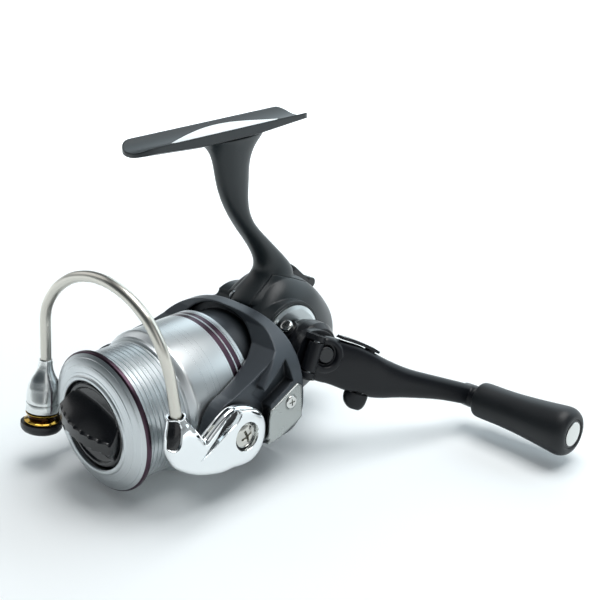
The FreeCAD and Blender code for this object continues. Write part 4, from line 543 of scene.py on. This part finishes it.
SKIRT = [(-49.8, 20.0, 0), (-49.6, 20.3, 0), (-49.4, 20.8, 0), (-49.0, 20.95, 0), (-48.4, 21.0, 0),
         (-47.4, 21.6, 0), (-46.6, 22.1, 2), (-46.0, 22.28, 2), (-45.6, 22.3, 2), (-30.6, 22.3, 0),
         (-30.5, 22.18, 1), (-28.7, 22.18, 0), (-28.6, 22.3, 0), (-28.25, 22.3, 0), (-28.15, 22.18, 1),
         (-26.5, 22.18, 0), (-26.4, 22.3, 0), (-26.0, 22.3, 0), (-25.92, 22.2, 0), (-25.8, 22.2, 0),
         (-25.72, 22.3, 0), (-24.7, 22.3, 0), (-24.6, 22.2, 0), (-24.6, 21.4, 0), (-46.0, 21.4, 0),
         (-47.4, 19.0, 0), (-60.4, 18.6, 0), (-60.4, 15.0, 0), (-49.8, 15.0, 0), (-49.8, 5.5, 0),
         (-47.3, 5.5, 0), (-47.3, 3.05, 0), (-54.6, 3.05, 0), (-54.6, 13.6, 0)]
spool_line = np.array(LIP + DRUM + SKIRT)
spool = grid_piece("spool_turning", [(turned_grid(spool_line[:, :2]), True)],
                   "spool", [turned_aluminium, plum_anodising, satin_turned_skirt],
                   [spool_line[:, 2].astype(int)], crease=22)
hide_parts("spool")

# ---------------------------------------------------------------------------------------------
# Drag knob. One gloss black moulding of ABS: a dished disc that fills the spool's mouth, and a
# wedge across it with hollow flanks, whose ridge is stepped along both edges for the fingers.
# ---------------------------------------------------------------------------------------------
# ABS moulded in a polished tool: black, with clear highlights under a thin gloss.
gloss_black_abs = finish("gloss_black_abs", "#101114", roughness=0.24, grain=0.5, bump=0.002,
                         uneven=0.04, **{"Coat Weight": 0.25, "Coat Roughness": 0.1})
DIAL_RADIUS, DIAL_FLOOR, DIAL_BACK = 13.05, -66.75, -66.0       # the last two are places on the axis
RIM_RADIUS, RIM_HEIGHT, ROUND_RADIUS, ROUND_DROP = 11.2, 0.55, 12.4, 0.75
WEDGE_REACH, WEDGE_TURN = 12.45, math.radians(13)
RIDGE_HEIGHT, RIDGE_FALL, RIDGE_REACH, SHOULDER_DROP = 7.35, 3.6, 12.3, 0.75
RIDGE_HALF, SHOULDER_HALF, FLANK_WIDTH, FLANK_POWER = 1.3, 2.15, 6.3, 1.45
TOOTH_PITCH, TOOTH_DEPTH, TOOTH_SLOPE = 3.0, 0.7, 0.85          # the slope is a share of the pitch


def knob_face(rows=218, cols=216):
    """The knob's front: a disc of chords across its wedge. Its height is the dish's, a flat floor
    with a raised and rounded rim, or the wedge's where that stands higher: a ridge that sinks towards
    its ends with the square of the way along it, and flanks that fall as a power of the way left
    to their foot. The ridge's two edges follow a saw-tooth, with a narrow shoulder below each."""
    along = DIAL_RADIUS * np.sin(np.linspace(-1, 1, rows) * np.pi / 2 * 0.999)[:, None]
    chord = np.sqrt(DIAL_RADIUS ** 2 - along ** 2)
    share = np.linspace(-1, 1, cols)[None, :]
    side = np.sign(share)
    saw = (side * along / TOOTH_PITCH + 0.2) % 1.0
    tooth = np.where(saw < TOOTH_SLOPE, saw / TOOTH_SLOPE, (1 - saw) / (1 - TOOTH_SLOPE))
    edge = np.minimum(RIDGE_HALF + TOOTH_DEPTH * tooth, chord * 0.5)
    foot = np.minimum(SHOULDER_HALF, chord * 0.6)
    # a quarter of the columns lies on the ridge, a quarter on its shoulders, the rest beyond
    near = np.abs(share) * 4
    across = np.clip(near, 0, 1) * edge + np.clip(near - 1, 0, 1) * (foot - edge) \
        + (chord - foot) * (np.clip(near - 2, 0, 2) / 2) ** 1.2
    ridge = RIDGE_HEIGHT - RIDGE_FALL * (along / RIDGE_REACH) ** 2
    fall = np.clip((across - foot) / (FLANK_WIDTH - 1.2 * np.abs(along) / 13), 0, 1)
    flank = (ridge - SHOULDER_DROP) * (1 - fall) ** FLANK_POWER
    wedge = np.where(near > 2, flank, ridge - SHOULDER_DROP * np.clip(near - 1, 0, 1))
    radius = np.hypot(along, across)
    wedge = wedge * np.clip((WEDGE_REACH - radius) / 0.35, 0, 1)
    rim = RIM_HEIGHT * np.clip((radius - RIM_RADIUS) / 0.5, 0, 1) \
        - ROUND_DROP * np.clip((radius - ROUND_RADIUS) / (DIAL_RADIUS - ROUND_RADIUS), 0, 1) ** 2
    across = across * side
    front = np.stack([np.broadcast_to(along, across.shape),
                      DIAL_FLOOR - np.maximum(rim, wedge), across], -1)
    back = np.stack([front[..., 0], np.full(across.shape, DIAL_BACK), across], -1)[:, ::-1]
    u, y, w = np.moveaxis(np.concatenate([front, back], 1), -1, 0)
    return np.stack([u * np.cos(WEDGE_TURN) + w * np.sin(WEDGE_TURN), y,
                     w * np.cos(WEDGE_TURN) - u * np.sin(WEDGE_TURN)], -1)


# Pairs of place along the spool's axis and radius: the shell behind the face, open at the back.
KNOB_WALL = [(-66.1, 0.2), (-66.1, 12.9), (-65.9, DIAL_RADIUS), (-60.6, DIAL_RADIUS), (-60.4, 12.9),
             (-60.4, 11.2), (-65.5, 11.2), (-65.5, 0.2)]
knob = grid_piece("drag_knob_moulding", [knob_face(), (turned_grid(KNOB_WALL), True)],
                  "drag", [gloss_black_abs], crease=38)
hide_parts("drag_knob")

# ---------------------------------------------------------------------------------------------
# Bail wire and holder. A bent steel wire from a black bush in a chromed zinc casting, which turns
# on a rotor arm. The casting is a rounded disc, a belly and a hollow tower with a window.
# ---------------------------------------------------------------------------------------------
# Drawn stainless steel of the wire: a grey mirror, a little blurred.
drawn_steel = finish("drawn_steel", "#cbc8bf", metallic=1.0, roughness=0.3, grain=0.5, bump=0.003)
dress(drawn_steel, "bail_wire")
# Bright chrome on the zinc casting: a mirror with hardly any tint of its own.
bright_chrome = finish("bright_chrome", "#e8ebec", metallic=1.0, roughness=0.07, grain=0.8, bump=0.001,
                       uneven=0.02, mottle=0.02)
# Painted shade in the casting's hollows: a near-black, dull material where the screw's pocket and the
# leaf lie in shade.
painted_recess_shade = finish("painted_recess_shade", "#1b1d20", metallic=0.0, roughness=0.35, grain=0.8, bump=0.001)
dress(gloss_black_abs, "wire_socket_cup")

# Ribs from the casting's rear round its belly and up the tower: inner edge and outer edge as
# places along Y and Z, middle and half thickness along X, and power of the superellipse.
RIBS = [(-28.5, -2.4, -28.5, -3.8, 30.1, 0.7, 2.2), (-29.3, 0.4, -29.3, -8.0, 30.0, 1.8, 2.6),
        (-31.3, 3.0, -31.4, -11.2, 30.0, 2.3, 3.0), (-34.5, 5.2, -34.6, -12.9, 30.0, 2.4, 3.4),
        (-38.5, 6.5, -38.4, -12.9, 30.0, 2.4, 3.6), (-42.3, 6.6, -42.0, -12.35, 30.0, 2.4, 3.6),
        (-46.3, 4.9, -45.5, -12.3, 30.0, 2.4, 3.4), (-49.8, 2.7, -49.0, -11.5, 30.0, 2.4, 3.2),
        (-52.0, 1.3, -52.4, -10.4, 30.0, 2.4, 3.0), (-52.9, 1.8, -56.2, -8.7, 30.0, 2.4, 3.0),
        (-53.8, 3.4, -60.0, -6.3, 30.0, 2.4, 3.0), (-54.7, 4.9, -63.1, -3.5, 29.9, 2.5, 2.7),
        (-55.4, 6.4, -64.7, 0.4, 29.4, 2.75, 2.3), (-55.9, 7.8, -64.1, 4.3, 28.6, 3.0, 2.1),
        (-56.3, 8.8, -62.9, 7.4, 27.9, 2.95, 2.0), (-56.6, 9.5, -62.2, 9.3, 27.55, 2.8, 2.0)]
# The window in the tower, and the hollow leaf between the belly's edge strip and the disc: places
# along Y and Z, and half width.
WINDOW = [(-62.0, 7.9, 2.0), (-62.7, 5.8, 2.1), (-63.2, 3.8, 1.9), (-63.4, 2.6, 0.9)]
LEAF = [(-55.2, -4.4, 0.05), (-51.6, -2.4, 0.6), (-48.0, -0.2, 1.0), (-44.8, 2.1, 1.6),
        (-41.6, 3.7, 1.8), (-39.9, 4.5, 1.3)]


def beside(y, z, line):
    """How far each point lies inside a band along a line of places and half widths, in mm: the
    greatest half width less distance over the line's points."""
    run = through(line, 60)
    gap = np.hypot(y[..., None] - run[:, 0], z[..., None] - run[:, 1]) - run[:, 2]
    return -gap.min(-1)


PIVOT_Y, PIVOT_Z = -37.0, -3.5
POCKET_RADIUS, POCKET_DEPTH, LEAF_DEPTH, WINDOW_DEPTH = 4.5, 1.6, 1.6, 0.7
# The tower's mouth: growth of the last rib about its middle, and rise, from the lip to the bore.
MOUTH = ((1.04, 0.1), (1.05, 0.3), (1.0, 0.5), (0.86, 0.55), (0.8, 0.4), (0.78, -2.2))


def holder_skin(rows=350, cols=274):
    """The casting's skin. Each rib is a superellipse between its two edges. On the outer face the
    screw's pocket, the leaf and the window are sunk with soft sides, and past the last rib the
    skin turns in over the tower's lip and down its bore."""
    rib = through(RIBS, rows)[:, :, None]
    angle = np.interp(np.arange(cols) / cols, (0, 0.3, 0.42, 0.58, 0.7, 1),
                      (0, 45, 135, 225, 315, 360))      # closer columns on the outer face
    sine, cosine = np.sin(np.radians(angle))[None, :], np.cos(np.radians(angle))[None, :]
    reach = (np.abs(sine) ** rib[:, 6] + np.abs(cosine) ** rib[:, 6]) ** (-1 / rib[:, 6])
    out, wide = cosine * reach, sine * reach
    y = (rib[:, 0] + rib[:, 2]) / 2 + wide * (rib[:, 2] - rib[:, 0]) / 2
    z = (rib[:, 1] + rib[:, 3]) / 2 + wide * (rib[:, 3] - rib[:, 1]) / 2
    x = rib[:, 4] + out * rib[:, 5]
    front = out > 0.15
    pocket = np.clip((POCKET_RADIUS - np.hypot(y - PIVOT_Y, z - PIVOT_Z)) / 0.3, 0, 1)
    leaf = np.clip(beside(y, z, LEAF) / 0.4, 0, 1)
    hole = np.clip(beside(y, z, WINDOW) / 0.25, 0, 1)
    x = x - front * (POCKET_DEPTH * pocket + LEAF_DEPTH * leaf * (1 - pocket) + WINDOW_DEPTH * hole)
    skin = np.stack([x, y, z], -1)
    # kinds of face: 0 chrome, 1 black moulding in window and bore, 2 painted shade in pocket and leaf
    kind = np.where(front & (np.maximum(pocket, leaf) > 0.9), 2, 0) + (front & (hole > 0.6))
    middle = skin[-1].mean(0)
    rim = np.stack([middle + (skin[-1] - middle) * grow + np.array([0, 0, rise])
                    for grow, rise in MOUTH])
    kinds = np.concatenate([kind, np.zeros((4, cols), int), np.ones((2, cols), int)])
    return np.concatenate([skin, rim]), kinds


skin, skin_kinds = holder_skin()
holder = grid_piece("bail_holder_casting", [skin], "bail",
                    [bright_chrome, gloss_black_abs, painted_recess_shade], [skin_kinds], crease=50)
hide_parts("bail_holder")

# ---------------------------------------------------------------------------------------------
# Pivot screws. Domed nickel-plated heads with a cross recess, one on each end of the bail; each
# shank is hidden in its rotor arm.
# ---------------------------------------------------------------------------------------------
# Bright nickel plate: a warm mirror, softer than the chrome beside it.
bright_nickel = finish("bright_nickel", "#c2c1bb", metallic=1.0, roughness=0.17, grain=0.5, bump=0.003)
SCREW_SEAT_X, SCREW_RADIUS, SCREW_RISE, SCREW_DEPTH = 30.95, 3.75, 1.35, 0.8


def screw_head(place, way, radius, rise, spin=20.0):
    """A domed head about the X axis, facing way (1 or -1): the dome falls with the square of the
    radius from rise to 0.35 of it, and a cross of two slots with sloping sides is sunk in it. The
    cross is turned by spin degrees."""
    dome = np.array([0.02, *np.linspace(0.06, 0.94, 34)])
    r = radius * np.array([*dome, 0.98, 1.0, 1.0, 0.6, 0.02])[:, None]
    angle = np.linspace(0, 2 * np.pi, 96, endpoint=False)[None, :]
    u, v = r * np.cos(angle), r * np.sin(angle)
    height = 0.35 * rise + 0.65 * rise * (1 - (r / radius) ** 2) + 0 * u
    height[len(dome):] = [[0.3 * rise], [0.12 * rise], [-SCREW_DEPTH], [-SCREW_DEPTH], [-SCREW_DEPTH]]
    arm = np.stack([np.abs(u), np.abs(v)]) / radius
    slot = np.maximum(np.clip((0.11 - arm[0]) / 0.045, 0, 1) * np.clip((0.56 - arm[1]) / 0.1, 0, 1),
                      np.clip((0.11 - arm[1]) / 0.045, 0, 1) * np.clip((0.56 - arm[0]) / 0.1, 0, 1))
    height[:len(dome)] -= (0.3 * radius * slot)[:len(dome)]
    lean = math.radians(spin)
    return np.stack([place[0] + way * height, place[1] + u * np.cos(lean) - v * np.sin(lean),
                     place[2] + u * np.sin(lean) + v * np.cos(lean)], -1)


screws = grid_piece("bail_screw_heads",
                    [screw_head((side * SCREW_SEAT_X, PIVOT_Y, PIVOT_Z), side, SCREW_RADIUS, SCREW_RISE)
                     for side in (1, -1)],
                    "bail", [bright_nickel], crease=40)
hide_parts("bail_pivot_screws")

# ---------------------------------------------------------------------------------------------
# Line roller end. A satin chromed bell, hollowed like a spoon on its outer side, a gold roller
# with a groove for the line and a black bowl, stacked on one pin.
# ---------------------------------------------------------------------------------------------
# Satin chrome on the bell: pale and blurred.
satin_chrome = finish("satin_chrome", "#dfe2e1", metallic=1.0, roughness=0.24, grain=0.4, bump=0.003)
# Titanium nitride on the roller: a hard yellow mirror.
gold_nitride = finish("gold_nitride", "#b3913f", metallic=1.0, roughness=0.14, grain=0.6, bump=0.001)
# Painted shade in the roller's groove: a dark brown metal, so that the groove reads as a shadowed ring.
groove_painted_shade = finish("groove_painted_shade", "#3a2412", metallic=1.0, roughness=0.2, grain=0.6, bump=0.001)
# The pin's foot in the bowl, its direction, and the direction square to it and to X.
ROLLER_FOOT = np.array([-29.0, -66.6, -12.8])
ROLLER_WAY = np.array([0.0, 0.176068, 0.984378])
ROLLER_SIDE = np.array([0.0, -0.984378, 0.176068])
DENT_AT, DENT_SPREAD = math.radians(35.5), 0.95          # angle round the pin, from X towards SIDE


def stacked(profile, steps=128, dent=None):
    """A turned shape about the roller's pin, from pairs of place along it and radius. dent gives, for
    each place, the share of the radius that is taken away round DENT_AT, falling off to both sides as
    a bell curve DENT_SPREAD wide."""
    s, r = np.asarray(profile, float)[:, :2].T
    angle = np.linspace(0, 2 * np.pi, steps, endpoint=False)[None, :]
    r = r[:, None] + 0 * angle
    if dent is not None:
        turn_by = (angle - DENT_AT + np.pi) % (2 * np.pi) - np.pi
        r = r * (1 - dent(s)[:, None] * np.exp(-(turn_by / DENT_SPREAD) ** 2))
    return ROLLER_FOOT + ROLLER_WAY * s[:, None, None] + (r * np.cos(angle))[..., None] * (1, 0, 0) \
        + (r * np.sin(angle))[..., None] * ROLLER_SIDE


BELL = [(6.75, 1.6), (6.75, 4.85), (6.85, 5.0), (7.1, 5.1), (9.4, 5.1), (9.5, 5.05), (9.56, 4.85),
        (9.66, 4.85), (9.75, 5.0), (10.6, 5.08), (11.3, 5.1), (12.2, 5.1), (13.2, 5.05), (14.2, 4.95),
        (15.0, 4.75), (15.8, 4.5), (16.6, 4.2), (17.4, 3.8), (18.2, 3.35), (19.0, 2.95), (19.8, 2.6),
        (20.6, 2.35), (21.5, 2.18), (22.4, 2.08), (23.1, 2.02), (23.3, 1.9), (23.3, 1.6)]
FLANGE = 8              # profile points up to the groove above the flange, which stay sharp
bell_line = np.vstack([BELL[:FLANGE], through(BELL[FLANGE:-2], 90), BELL[-2:]])
SPOON_START, SPOON_LENGTH, SPOON_DEPTH = 9.8, 11.0, 0.2


def spoon(s):
    """How deep the bell's hollow is at each place: the power 1.2 of half a sine wave."""
    return SPOON_DEPTH * np.sin(np.pi * np.clip((s - SPOON_START) / SPOON_LENGTH, 0, 1)) ** 1.2


bell = grid_piece("line_bell", [stacked(bell_line, dent=spoon)], "bail", [satin_chrome],
                  crease=32)
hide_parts("bail_arm_cam")

# Place, radius, and finish of the band that follows: 1 is the groove, dark with painted shade.
ROLLER = [(3.3, 2.7, 0), (3.3, 5.3, 0), (3.45, 5.45, 0), (3.85, 5.45, 0), (4.1, 5.1, 0), (4.5, 4.3, 1),
          (4.9, 4.1, 1), (5.4, 4.1, 1), (5.8, 4.5, 1), (6.05, 5.0, 0), (6.3, 5.1, 0), (6.45, 5.0, 0),
          (6.45, 2.7, 0)]
roller = grid_piece("gold_line_roller", [(stacked(ROLLER), True)], "roller",
                    [gold_nitride, groove_painted_shade], [[band for _, _, band in ROLLER]], crease=30)
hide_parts("line_roller")
dress(black_acetal, "line_arm", "roller_screw")
